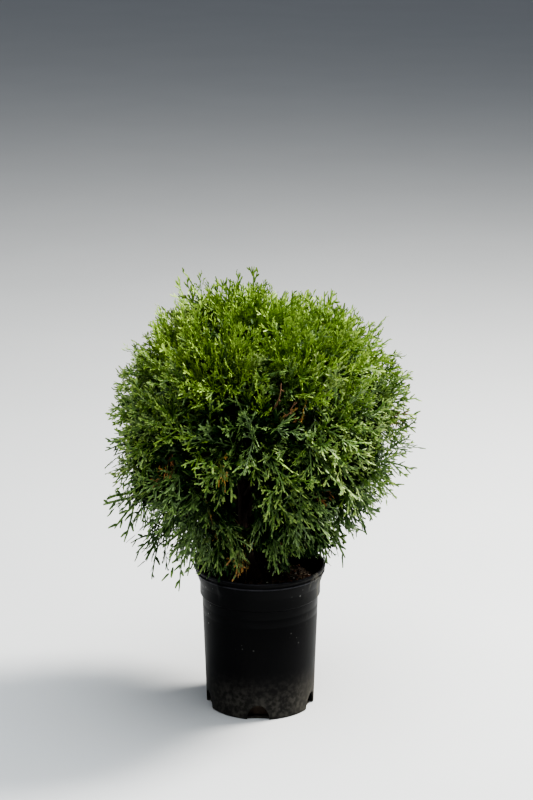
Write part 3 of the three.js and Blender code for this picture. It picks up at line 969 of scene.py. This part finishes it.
def grow_fan(rng, kind):
    """Points, faces and tints of one fan: tint 0 is old growth and tint 1 the young ends."""
    heap = Heap()
    spread = kind["spread"] * rng.uniform(0.85, 1.15)
    angle = kind["angle"] * rng.uniform(0.9, 1.1)

    def grow(start, heading, rise, length, curl, young):
        line, turning, points, faces = ribbon(rng, start, heading, rise, length, curl, kind)
        ends = np.arange(len(faces)) // 2 >= young * (len(line) - 1)
        heap.add(points, faces, ends.astype(int))
        return line, turning

    def bear_branchlets(line, turning, reach, side, rise):
        for place in np.arange(*BRANCHLET["shoots"], kind["gap"] / reach):
            side = -side
            root, direction = point_on(line, turning, place)
            length = min(kind["short"], BRANCHLET["least"] + BRANCHLET["growth"] * reach * (1 - place))
            length *= rng.uniform(0.75, 1.15)
            leaning = rise + rng.uniform(-BRANCHLET["rise"], BRANCHLET["rise"])
            heading = direction + side * angle * BRANCHLET["angle"]
            grow(root, heading, leaning, length, -side * BRANCHLET["bow"], BRANCHLET["young"])

    bow = rng.uniform(-AXIS["bow"], AXIS["bow"])
    axis = grow(np.zeros(3), 0, 0, FAN["length"], bow, AXIS["young"])
    side = rng.choice((-1, 1))
    for index, share in enumerate(np.arange(*AXIS["shoots"], kind["spacing"] / FAN["length"])):
        side = -side
        start, heading = point_on(*axis, share + rng.uniform(-BRANCH["uneven"], BRANCH["uneven"]))
        rise = rng.uniform(-BRANCH["rise"], BRANCH["rise"])
        turn = side * angle * rng.uniform(0.85, 1.2) * (1.05 - 0.3 * share)
        if index % 4 > 1 or share > AXIS["branches_to"]:
            length = kind["short"] * rng.uniform(0.7, 1.2)
            grow(start, heading + turn, rise, length, -side * 0.2, BRANCHLET["young"])
        else:
            reach = FAN["reach"] * spread * fan_reach(share) * rng.uniform(0.75, 1.15)
            curl = -side * rng.uniform(0, BRANCH["bow"])
            branch = grow(start, heading + turn, rise, reach, curl, BRANCH["young"])
            bear_branchlets(*branch, reach, side, rise)
    return np.concatenate(heap.points), np.concatenate(heap.faces), np.concatenate(heap.tints)


FANS = {}
for seed, (name, measures) in enumerate(FAN_KINDS.items(), FAN["first_seed"]):
    rng = np.random.default_rng(seed)
    kind = dict(zip(MEASURES, measures))
    FANS[name] = [grow_fan(rng, kind) for _ in range(FAN["drawn"])]
    print(f"{name} fans: {np.mean([len(fan[1]) for fan in FANS[name]]):.0f} triangles each")

# %% [markdown]
# ## Laying a fan on the plant
# A fan sets out from its twig, is rolled about its axis, and nods under its own weight towards its
# tip. Twigs bend too: their ends lift at the top of the crown and hang at its foot. All of this could
# be bones or a simulation, but one curve worked out on the points gives the same look at once.
#
# Some places stay clear. A fan that would cross the pot, the mix or the trunk is laid higher, and left
# out if that doesn't clear it. A window is a narrow place with no leaf in front of what shows there.
# The hollow is the dark hole in the middle of the front, with fewer fans, and its sprays are painted in
# darker tints as painted shade. The lace is the skirt low on either side, where light shows between
# thin sprays, and its sprays are painted darker too, as painted shade.

# %% Levels and places in the crown
BEND = {"lift": 12, "level": -16, "hang": -46, "power": 3, "soon": 1.8}
SEEN_RISE = 0.33  # how much higher a point shows for each millimetre that it lies further back
WINDOWS = [  # x and seen height, each from and to, and the y up to which no leaf hangs
    ((-26, -11), (240, 292), -6),  # the trunk
    ((16, 34), (386, 412), -140),  # the foot of the bare shoots
    ((-56, 90), (60, 157), 0),  # the pot's wall
    ((-11, 6), (157, 200), -55),  # the dark gap between two hanging fans
    ((46, 72), (157, 190), 60),  # the mix at the right
]
HOLLOW = {"x": -12, "height": 350, "half_width": 66, "half_height": 50, "left_out": 0.45}
LACE = {"across": ((-160, -58), (88, 160)), "seen": (150, 262), "left_out": 0.05}


def level_of(tip):
    """Where a tip stands in the crown: 1 at its top, 0 at its middle, -1 at its foot."""
    return (tip[2] - CENTRE[2]) / CROWN["radius"]


def bend_at(tip):
    """How far the end of a twig lifts at the top of the crown, and hangs at its foot."""
    level = level_of(tip)
    if level > 0:
        return BEND["level"] + (BEND["lift"] - BEND["level"]) * min(1, level * BEND["soon"])
    return BEND["level"] + (BEND["hang"] - BEND["level"]) * min(1, -level)


def seen_height(point):
    """The height at which a point shows from the front, where the view looks down a little."""
    return point[2] + SEEN_RISE * point[1]


def inside(value, limits):
    return (value > limits[0]) & (value < limits[1])


def in_hollow(point):
    """True in the shallow hollow at the middle of the front, where the crown is thin and its sprays are
    painted dark as shade.
    """
    across = (point[0] - HOLLOW["x"]) / HOLLOW["half_width"]
    up = (seen_height(point) - HOLLOW["height"]) / HOLLOW["half_height"]
    return point[1] < 0 and across ** 2 + up ** 2 < 1


def in_lace(point):
    """True low on either side, where the skirt is open and its sprays are painted dark as shade."""
    low = inside(seen_height(point), LACE["seen"])
    return low and any(inside(point[0], across) for across in LACE["across"])


tips = [tip for mass in MASSES for tip, _ in mass["tips"]]
print("tips in the hollow:", sum(map(in_hollow, tips)), "and in the lace:", sum(map(in_lace, tips)))

# %% Roll, nod and clearance
ROOM = {"side": 12, "above": 1, "inside": 8, "over_mix": 4, "trunk": 3}
PAST_TIP = 1.2  # how far along a fan its nod and twist still grow, as a share of its axis


def rolled(vector, axis, angle):
    return vector * math.cos(angle) + np.cross(axis, vector) * math.sin(angle)


def level_across(heading):
    """The level direction square to a heading, or one square to the right if it is steep."""
    reference = RIGHT if abs(heading[2]) > STEEP else UP
    return unit(np.cross(reference, heading))


def lay_fan(fan, base, tip, across, droop, twist, cup):
    """The points of a fan laid from base to tip, with its width along across."""
    line = tip - base - UP * droop
    size = np.linalg.norm(line) / FAN["length"]
    heading = unit(line)
    across = unit(across - heading * (across @ heading))
    normal = np.cross(heading, across)
    x, y, z = fan[0].T * size
    share = np.clip(x / (FAN["length"] * size), 0, PAST_TIP)
    turn = twist * share
    out = across * np.cos(turn)[:, None] + normal * np.sin(turn)[:, None]
    up = normal * np.cos(turn)[:, None] - across * np.sin(turn)[:, None]
    points = base + heading * x[:, None] + out * y[:, None] + up * (z - cup * y * y)[:, None]
    points[:, 2] += droop * share ** 2
    return points


def clear(points):
    """True where no point is in the pot, in the mix, at the trunk or in a window."""
    radius = np.hypot(points[:, 0], points[:, 1])
    floor = np.where(radius > POT["band_radius"] - ROOM["inside"], POT_HEIGHT + ROOM["above"],
                     MIX_TOP + ROOM["over_mix"])
    if np.any((radius < LIP_RADIUS + ROOM["side"]) & (points[:, 2] < floor)):
        return False
    share = trunk_share(points[:, 2])
    away = np.hypot(*(points - trunk_at(share))[:, :2].T)
    if np.any((away < trunk_radius(share) + ROOM["trunk"]) & (points[:, 2] < TRUNK_TIP)):
        return False
    seen = seen_height(points.T)
    return not any(np.any(inside(points[:, 0], across) & inside(seen, up) & (points[:, 1] < depth))
                   for across, up, depth in WINDOWS)


places = {"in the trunk": trunk_at(0.5), "at the right": CENTRE + RIGHT * CROWN["radius"]}
print("clear for a leaf:", {name: clear(place[None]) for name, place in places.items()})

# %% [markdown]
# ## Colours of the foliage
# The plant isn't one green. Its top is a bright yellow green, its sides mid green, its skirt deeper
# and bluer, and young ends are paler all over. These tints by level are partly the plant's own colour
# and partly painted light and shade, and at the right fewer sprays get the bright tints, as painted
# shade. A few sprays are painted pale as painted highlights where they would catch the light, most of
# them at the right. Old sprays inside turn first at their ends, and are bronze before they fall. A
# pattern laid over the whole crown could not keep to single sprays, so each spray is dealt one tint,
# a pair of plain colours for its blade and its young ends. The shine of the scales comes from
# roughness and a fine bump.

# %% Leaf materials
def leaf_material(name, colour):
    dark = tuple(0.5 * channel for channel in colour)
    return new_material(
        name,
        lambda start: mixed(between(cells(start, 340), 0.1, 0.6), dark, colour),
        lambda start: 0.42 + 0.2 * grain(start, 260),
        lambda start: bump(cells(start, 600), 0.5, 0.0005),
        Specular_IOR_Level=min(0.5, colour[1] * 5),
    )


TINTS = {  # blade and young ends
    "crown green": ((0.096, 0.183, 0.010), (0.215, 0.345, 0.040)),
    "spring green": ((0.125, 0.226, 0.012), (0.265, 0.395, 0.056)),
    "side green": ((0.064, 0.136, 0.012), (0.20, 0.30, 0.058)),
    "deep green": ((0.047, 0.102, 0.014), (0.132, 0.222, 0.052)),
    "sea green": ((0.066, 0.130, 0.022), (0.20, 0.295, 0.076)),
    # painted highlight: pale greens for sprays that seem to catch the light
    "painted glint green": ((0.12, 0.19, 0.035), (0.30, 0.39, 0.125)),
    "shaded green": ((0.018, 0.050, 0.005), (0.050, 0.105, 0.016)),
    # painted shade: near black, for fans deep inside the crown
    "painted shade green": ((0.004, 0.020, 0.001), (0.006, 0.030, 0.002)),
    "turning": ((0.07, 0.10, 0.012), (0.27, 0.135, 0.022)),
    "old bronze": ((0.10, 0.045, 0.014), (0.25, 0.105, 0.028)),
}
TINT_NAMES = list(TINTS)
LEAF_MATERIALS = [leaf_material(f"{name} {part}", colour)
                  for name, pair in TINTS.items() for part, colour in zip(("blade", "tip"), pair)]
print("leaf materials:", len(LEAF_MATERIALS))

# %% Dealing the tints
# partly painted light and shade: the lower chances at the right give that side fewer bright tints, as
# painted shade
LEVELS = [  # from this level up: a tint, its chance at the left and at the right, and the other tint
    (0.45, "spring green", (0.5, 0.5), "crown green"), (0.0, "crown green", (0.45, 0.3), "side green"),
    (-0.4, "side green", (0.55, 0.4), "deep green"), (-math.inf, "sea green", (0.6, 0.25), "deep green"),
]
RIGHT_FROM = 40
# painted highlights: now and then a spray gets a pale tint where light would glint on it, more often at the
# right
PAINTED_GLINT = {"often": 0.08, "seldom": 0.03, "x": 100, "level": -0.2}
# painted shade: sprays in the hollow and the lace get deep green or the darker shaded green
SHADED = 0.3  # the chance that a spray in the hollow or the lace is darker than deep green
OLD = {"near": 13, "often": 0.7, "behind": 0.02, "turning": 0.5}
BRONZE = [  # where old sprays show in the photograph: x and seen height
    (-25, 170), (-124, 294), (-102, 300), (-47, 294), (-62, 228), (50, 383), (87, 274),
]


def aged(rng, tip, tint):
    """An old or turning tint near the places where old sprays show, now and then behind, else the tint."""
    nearest = min(math.hypot(tip[0] - x, seen_height(tip) - height) for x, height in BRONZE)
    chance = OLD["behind"] if tip[1] > 0 else OLD["often"] * (nearest < OLD["near"])
    if rng.random() < chance:
        return "turning" if rng.random() < OLD["turning"] else "old bronze"
    return tint


def pick_tint(rng, tip):
    """A tint for a spray by its level, with a few pale ones as painted highlights, more of them on the
    right, and darker ones as painted shade in the hollow and the lace.
    """
    level = level_of(tip) + rng.normal(0, 0.14)
    catching = tip[0] > PAINTED_GLINT["x"] and level > PAINTED_GLINT["level"]
    if rng.random() < PAINTED_GLINT["often" if catching else "seldom"]:
        return "painted glint green"
    # painted shade in the hollow and the lace
    if in_hollow(tip) or in_lace(tip):
        return "shaded green" if rng.random() < SHADED else "deep green"
    for least, tint, chances, other in LEVELS:
        if level > least:
            return tint if rng.random() < chances[int(tip[0] > RIGHT_FROM)] else other


trial_rng = np.random.default_rng(seed=0)
dealt = [pick_tint(trial_rng, tip) for tip in tips]
print("a trial deal of tints:", {name: dealt.count(name) for name in TINTS if name in dealt})

# %% [markdown]
# ## Growing the masses
# In each mass a stem carries bearing twigs to the tips that were dealt to it. A twig ends in a
# leading fan, and side fans leave it behind that, each turned on by the golden angle so that none
# hides the last. How a fan is turned makes the look. In the middle of the crown side fans show their
# faces, as leaves turn to the light. Out at the sides they stand in upright planes, as a thuja's
# sprays do, so their branching shows at the outline and makes it lacy. Some shoots outgrow the
# crown and some fall short, or it would look clipped. Deeper in, plain fans painted dark as painted
# shade close the view through the crown. Scattering fans over a ball would be quicker, but they would
# float, and every gap would show it: here each one starts on a twig.

# %% Twigs and the outline
# Where a twig leaves its stem, where its fans start, and how its leading fan varies
SPRAY = {"branches_at": 0.5, "first_twig": 6, "least": 0.1, "past_base": 4, "stray": 11,
         "erect_above": 0.25, "unsure": 0.18, "lead": (0.9, 1.05), "nod": 0.5}
FLANK = ((-0.8, -0.3), (55, 105))  # by level, how far out the flanks begin
LOPSIDED = ((-130, 40, 150), (1.015, 1.0, 0.97))  # by x, a share of the outline's reach
SHOOTS = [  # where shoots are longer or shorter than the crown's lobes make them, written as those are
    ((0.77, -0.05, 0.64), 14, 16), ((-0.98, 0.0, 0.12), 11, 11), ((0.68, -0.05, -0.73), 15, 18),
    ((-0.80, -0.05, -0.60), 10, 16), ((-0.92, -0.05, -0.38), -9, 9), ((-0.89, 0.13, 0.43), 8, 8),
    ((-0.55, -0.2, -0.81), -14, 10), ((-0.81, 0.17, 0.56), -7, 8), ((-0.42, 0.25, 0.87), 13, 9),
    ((-0.23, 0.29, 0.93), -25, 9), ((0.19, 0.29, 0.94), -33, 11), ((0.65, 0.23, 0.73), -12, 8),
]
TWIG = {"radius": 1.15, "tip": 0.7, "sides": 5, "steps": 7}


def along_twig(root, heading, bend, reach, distance):
    share = np.asarray(distance) / reach
    return root + heading * np.asarray(distance)[..., None] + UP * (bend * share ** BEND["power"])[..., None]


def inside_outline(tip, slack):
    """The tip, brought back to the crown's outline where it lies beyond it."""
    line = tip - CENTRE
    reach = np.linalg.norm(line)
    limit = outline_radius(line / reach) * slack * np.interp(tip[0], *LOPSIDED)
    limit += swell_at(line / reach, SHOOTS)
    return tip if reach <= limit else CENTRE + line * (limit / reach)


# %% Setting a fan
LIFTS = (0, 14, 30)
LAID = {"twist": 0.6, "cup": 0.006}


def add_fan(heap, rng, kind, base, tip, across, droop, tint):
    """Lay one fan, lifting its tip where something is in the way."""
    fan = FANS[kind][rng.integers(len(FANS[kind]))]
    twist, cup = rng.uniform(-LAID["twist"], LAID["twist"]), rng.uniform(0, LAID["cup"])
    for lift in LIFTS:
        points = lay_fan(fan, base, tip + UP * lift, across, droop, twist, cup)
        if clear(points):
            heap.add(points, fan[1], fan[2] + 2 * TINT_NAMES.index(tint))
            return


def facing_out(heading, place, roll):
    """The width of a fan whose face is turned out of the crown, but for a roll."""
    outward = unit(place - CENTRE)
    return rolled(unit(np.cross(outward, heading)), heading, roll)


def upright(heading, roll):
    """The width of a fan that stands in an upright plane, but for a roll."""
    return rolled(level_across(heading), heading, math.pi / 2 + roll)


def on_flank(point):
    """True out at the sides, and nearer the middle low down, where fans stand in upright planes."""
    return abs(point[0]) > np.interp(level_of(point), *FLANK)


# %% Leading and side fans
# How many side fans a twig has, where they start back from its tip, and how they nod
SIDES = {"open": 6, "erect": 10, "first": 34, "span": 56, "uneven": 4, "lit": 4, "nod": 0.4}
SIDE_FAN = {"erect_above": 0.35, "erect": (0.35, 0.8), "open": (0.6, 1.25), "length": (0.72, 1.0),
            "short": 0.06}
PULL = ((-0.8, 0.0, 0.4), (-0.9, -0.3, 0.25))  # by level, how far side fans turn down or up
ROLL = 0.6


def side_fan(rng, start, forward, tip, turn):
    """The end of a side fan, and its width: it leaves its twig at an angle, turned round it."""
    erect = level_of(tip) > SIDE_FAN["erect_above"]
    angle = rng.uniform(*SIDE_FAN["erect" if erect else "open"])
    right = level_across(forward)
    round_it = right * math.cos(turn) + np.cross(forward, right) * math.sin(turn)
    pull = UP * np.interp(level_of(tip), *PULL)
    heading = unit(forward * math.cos(angle) + round_it * math.sin(angle) + pull)
    end = start + heading * FAN["length"] * rng.uniform(*SIDE_FAN["length"])
    roll = rng.uniform(-math.pi, math.pi) if erect else rng.normal(0, ROLL)
    width = upright(heading, roll) if on_flank(start) else facing_out(heading, start, roll)
    return inside_outline(end, 1 - SIDE_FAN["short"] * rng.random()), width


def left_out(rng, end):
    """True now and then for a fan in the hollow or in the lace of the skirt."""
    chance = HOLLOW["left_out"] * in_hollow(end) + LACE["left_out"] * in_lace(end)
    return chance > 0 and rng.random() < chance


def add_leading_fan(heap, rng, kind, tint, course, base_at, tip):
    """The fan at the end of a twig: upright on the flanks, and turned any way elsewhere."""
    heading, bend = course[1:3]
    roll = rng.normal(0, ROLL) if on_flank(tip) else rng.uniform(-math.pi, math.pi)
    outward = unit(tip - CENTRE)
    end = tip + outward * (SPRAY["stray"] * rng.random() ** 2 + swell_at(outward, SHOOTS))
    base = along_twig(*course, base_at)
    add_fan(heap, rng, kind, base, end, upright(heading, roll), bend * SPRAY["nod"], tint)


def add_side_fans(heap, rng, kind, tint, course, tip):
    """Fans back from the leading one, of which the last on an open twig are in shade."""
    bend, reach = course[2:]
    turn = rng.uniform(0, 2 * math.pi)
    for index in range(SIDES[kind]):
        turn += GOLDEN_ANGLE
        distance = reach - SIDES["first"] - SIDES["span"] * index / SIDES[kind]
        distance += rng.uniform(-SIDES["uneven"], SIDES["uneven"])
        if distance > SPRAY["least"] * reach:
            start = along_twig(*course, distance)
            forward = unit(along_twig(*course, distance + 1) - start)
            end, width = side_fan(rng, start, forward, tip, turn)
            if not left_out(rng, end):
                lit = index < SIDES["lit"] or kind == "erect"
                shade = aged(rng, end, tint if lit else "shaded green")
                add_fan(heap, rng, kind, start, end, width, bend * SIDES["nod"], shade)


# %% Inner fans
# inner fans are painted near black and fill fans in darker greens, as painted shade inside the crown
INNER = {"high": 8, "low": 13, "along": (0.0, 0.55), "length": (55, 75), "slack": 0.80, "droop": -8,
         "fill_above": 0.1, "fill_tints": ("shaded green", "deep green")}


def add_inner_fans(inner, rng, ring, course, tip):
    """Plain fans near a twig's root, painted dark as shade, the darkest ones low down and in the hollow."""
    heading, reach = course[1], course[3]
    for index in range(INNER["low" if ring in ("lower", "skirt") else "high"]):
        start = along_twig(*course, reach * rng.uniform(*INNER["along"]))
        outward = unit(heading + unit(rng.normal(size=3)))
        end = inside_outline(start + outward * rng.uniform(*INNER["length"]), INNER["slack"])
        if in_lace(end):
            continue
        across = facing_out(outward, start, rng.normal(0, ROLL))
        kind, tint = "inner", "painted shade green"
        if level_of(tip) > INNER["fill_above"] and not in_hollow(end):
            kind, tint = "fill", INNER["fill_tints"][index % 2]
        add_fan(inner, rng, kind, start, end, across, INNER["droop"], tint)


# %% One bearing twig
def grow_spray(heap, inner, twigs, mass, tip, seed):
    """One bearing twig with its leading fan, its side fans and the plain ones inside."""
    rng = np.random.default_rng(seed)
    ahead = (tip - HUB) @ mass["axis"]
    root = HUB + mass["axis"] * max(mass["start"] + SPRAY["first_twig"], ahead * SPRAY["branches_at"])
    bend = bend_at(tip)
    line = tip - root - UP * bend
    reach = np.linalg.norm(line)
    course = (root, unit(line), bend, reach)
    tint = pick_tint(rng, tip)
    kind = "erect" if level_of(tip) + rng.normal(0, SPRAY["unsure"]) > SPRAY["erect_above"] else "open"
    base_at = max(reach - FAN["length"] * rng.uniform(*SPRAY["lead"]), SPRAY["least"] * reach)
    path = along_twig(*course, np.linspace(0, base_at + SPRAY["past_base"], TWIG["steps"]))
    twigs.add(*tube(path, np.linspace(TWIG["radius"], TWIG["tip"], TWIG["steps"]), TWIG["sides"]))
    add_leading_fan(heap, rng, kind, tint, course, base_at, tip)
    add_side_fans(heap, rng, kind, tint, course, tip)
    add_inner_fans(inner, rng, mass["ring"], course, tip)
    return path


trial, trial_inner = Heap(), Heap()
grow_spray(trial, trial_inner, Heap(), MASSES[0], *MASSES[0]["tips"][0])
print(f"fans on the first twig: {len(trial.faces)} outer ones and {len(trial_inner.faces)} inner ones")

# %% [markdown]
# ### Over the rim and round the foot
# The lowest sprays hang to the pot's lip and over it. They start on short twigs of their own, each
# joined to the nearest bearing twig, so they hang from something. Two large fans in front are laid
# where they stand out in the photograph, one of them turning. Behind them, a ring of dark fans
# closes the view past the foot of the trunk, where daylight never reaches.

# %% Rim and shade
RIM = {"seed": 7, "fans": 64, "start_radius": (50, 92), "start_height": (224, 256),
       "beyond_lip": (-20, 12), "above": (1, 14), "roll": 0.3, "droop": -6, "lit_every": 3}
RIM_FANS = [  # base, tip and tint of the two large fans
    ((-22, -80, 258), (-28, -101, 203), "turning"), ((26, -80, 254), (38, -101, 197), "side green"),
]
RIM_FAN_DROOP = -3
SHADE = {"seed": 12, "fans": 230, "start_radius": (20, 75), "start_height": (228, 284),
         "spread": (14, 44), "height": (194, 240), "roll": 0.5, "droop": -6}


def spread_round(rng, index, count):
    """One of a number of level directions spread evenly all round, but for a little chance."""
    return outward_at(2 * math.pi * (index + rng.uniform(-0.4, 0.4)) / count)


def shade_foot(inner):
    """Fans painted dark as shade, which close the view past the foot of the trunk."""
    rng = np.random.default_rng(SHADE["seed"])
    for index in range(SHADE["fans"]):
        outward = spread_round(rng, index, SHADE["fans"])
        radius = rng.uniform(*SHADE["start_radius"])
        start = outward * radius + UP * rng.uniform(*SHADE["start_height"])
        end = outward * (radius + rng.uniform(*SHADE["spread"])) + UP * rng.uniform(*SHADE["height"])
        across = facing_out(end - start, start, rng.normal(0, SHADE["roll"]))
        if not in_lace(end):
            add_fan(inner, rng, "inner", start, end, across, SHADE["droop"], "painted shade green")


def nearest_bearer(point):
    """The nearest point on any bearing twig, for a twig that starts there."""
    points = np.concatenate(BEARERS)
    return points[np.argmin(np.linalg.norm(points - point, axis=1))]


def join_up(twigs, start):
    """A short twig from the nearest bearing twig to where a fan starts."""
    twigs.add(*tube(np.linspace(nearest_bearer(start), start, 3), np.full(3, TWIG["tip"]), TWIG["sides"]))


def hang_over_rim(heap, twigs):
    """Short twigs with fans that hang all round, to the pot's lip and over it."""
    rng = np.random.default_rng(RIM["seed"])
    for index in range(RIM["fans"]):
        outward = spread_round(rng, index, RIM["fans"])
        start = outward * rng.uniform(*RIM["start_radius"]) + UP * rng.uniform(*RIM["start_height"])
        end = outward * (LIP_RADIUS + rng.uniform(*RIM["beyond_lip"]))
        end = end + UP * (POT_HEIGHT + rng.uniform(*RIM["above"]))
        join_up(twigs, start)
        tint = "shaded green" if index % RIM["lit_every"] else pick_tint(rng, end)
        across = facing_out(end - start, start, rng.normal(0, RIM["roll"]))
        add_fan(heap, rng, "open", start, end, across, RIM["droop"], aged(rng, end, tint))
    for base, tip, tint in RIM_FANS:
        start, end = np.array(base, float), np.array(tip, float)
        join_up(twigs, start)
        add_fan(heap, rng, "open", start, end, RIGHT, RIM_FAN_DROOP, tint)


print(f"fans to lay: {RIM['fans'] + len(RIM_FANS)} over the rim and {SHADE['fans']} in the shade")

# %% [markdown]
# ### From sprays to pieces
# The outer fans of a ring become one mesh, which replaces that ring's masses. An object for each fan
# would make thousands of objects and slow everything down, and one mesh for the whole crown would be
# too heavy to handle. The rings grow from the top down, so the twigs over the rim come last and can
# start from any bearing twig.

# %% Sprays of each ring
def grow_ring(ring, inner, twigs):
    heap = Heap()
    for mass in MASSES:
        if mass["ring"] == ring:
            BEARERS.extend(grow_spray(heap, inner, twigs, mass, tip, seed) for tip, seed in mass["tips"])
    if ring == "skirt":
        hang_over_rim(heap, twigs)
        shade_foot(inner)
    return heap


def mass_nodes(*rings):
    return [f"foliage_{mass['name']}" for mass in MASSES if mass["ring"] in rings]


twig_heap = Heap()
BEARERS = []
for part, rings in (("high", ("top", "upper", "middle")), ("low", ("lower", "skirt"))):
    inner_heap = Heap()
    for ring in rings:
        sprays = grow_ring(ring, inner_heap, twig_heap)
        finish_piece(sprays.piece(f"sprays_{ring}", LEAF_MATERIALS), mass_nodes(ring))
    finish_piece(inner_heap.piece(f"inner_sprays_{part}", LEAF_MATERIALS), mass_nodes(*rings))
print("bearing twigs:", len(BEARERS))

# %% [markdown]
# ### Stems and bare shoots
# Each bough goes on as a stem through its mass, and all twigs join one mesh with it. Two old shoots
# have shed their leaves and stand brown and crooked in the gap high on the front. They are curves
# with a little chance added to each point, and a few twiglets, because a smooth tube looks like wire.

# %% Stems and twigs
BARE_SHOOTS = [  # root, bend and end
    ((6, -96, 408), (20, -136, 416), (26, -160, 464)), ((16, -108, 404), (32, -140, 412), (42, -156, 440)),
]
BARE = {"seed": 5, "radius": 1.5, "tip": 0.6, "rings": 12, "crooked": 0.7}
TWIGLET = {"every": 2, "length": (7, 14), "radius": 0.6, "steps": 4, "spread": 0.9, "lift": 2}


def add_stems(heap):
    """The stem of each mass, on from its bough's tip."""
    radii = np.linspace(STEM["radius"], STEM["tip"], STEM["rings"])
    for mass in MASSES:
        reach = np.linspace(mass["start"], STEM["reach"], STEM["rings"])
        heap.add(*tube(HUB + mass["axis"] * reach[:, None], radii, STEM["sides"]))


def add_bare_shoots(heap):
    """Old shoots without leaves, which show in a gap on the front."""
    rng = np.random.default_rng(BARE["seed"])
    share = np.linspace(0, 1, TWIGLET["steps"])[:, None]
    for points in BARE_SHOOTS:
        root, bend, end = (np.array(point, float) for point in points)
        path = np.vstack([nearest_bearer(root), curved(root, bend, end, np.linspace(0, 1, BARE["rings"]))])
        path[2:] += rng.normal(0, BARE["crooked"], path[2:].shape)
        heap.add(*tube(path, np.linspace(BARE["radius"], BARE["tip"], len(path)), STEM["sides"]))
        for start in path[3::TWIGLET["every"]]:
            out = unit(unit(end - root) + TWIGLET["spread"] * unit(rng.normal(size=3)))
            out = out * rng.uniform(*TWIGLET["length"])
            twiglet = start + out * share + UP * TWIGLET["lift"] * share ** 2
            heap.add(*tube(twiglet, np.full(TWIGLET["steps"], TWIGLET["radius"]), TWIG["sides"]))


def twig_colour(start):
    return mixed(grain(start, 90), (0.08, 0.036, 0.016), (0.22, 0.11, 0.05))


TWIG_FINISH = new_material(
    "twig bark",
    twig_colour,
    lambda start: 0.6 + 0.2 * grain(start, 200),
    lambda start: bump(grain(start, 500), 0.5, 0.0004),
)
add_stems(twig_heap)
add_bare_shoots(twig_heap)
whole_crown = mass_nodes(*(ring[0] for ring in RINGS))
finish_piece(twig_heap.piece("twigs", [TWIG_FINISH], smooth=True), whole_crown)

# %% [markdown]
# ## The floor
# A studio floor only has to be pale and plain, and large enough to fill the view behind the plant. A
# faint cloud in its grey keeps it from looking like a hole in the picture.

# %% Floor
FLOOR_SIZE = 40_000
corners = np.array([(-1, -1, 0), (1, -1, 0), (1, 1, 0), (-1, 1, 0)]) * FLOOR_SIZE / 2
floor_finish = new_material(
    "studio floor",
    lambda start: mixed(grain(start, 3), (0.50, 0.52, 0.56), (0.54, 0.56, 0.60)),
    lambda start: 0.7 + 0.1 * grain(start, 20),
)
floor = new_piece("studio_floor", corners, np.array([[0, 1, 2, 3]]), [floor_finish])
floor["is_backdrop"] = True
print(f"floor {FLOOR_SIZE * MM:.0f} m across")

# %% [markdown]
# ## Measuring the result
# How far the box of the dressed plant lies from that of the solids is worked out and printed.

# %% Sizes and finish
def plain(box):
    return [list(corner) for corner in box]


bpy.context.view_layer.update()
low, high = (np.array(plain(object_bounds())) - plain(cad_bounds)) / MM
print("from the solids' corners in mm: low", low.round(1), "and high", high.round(1))
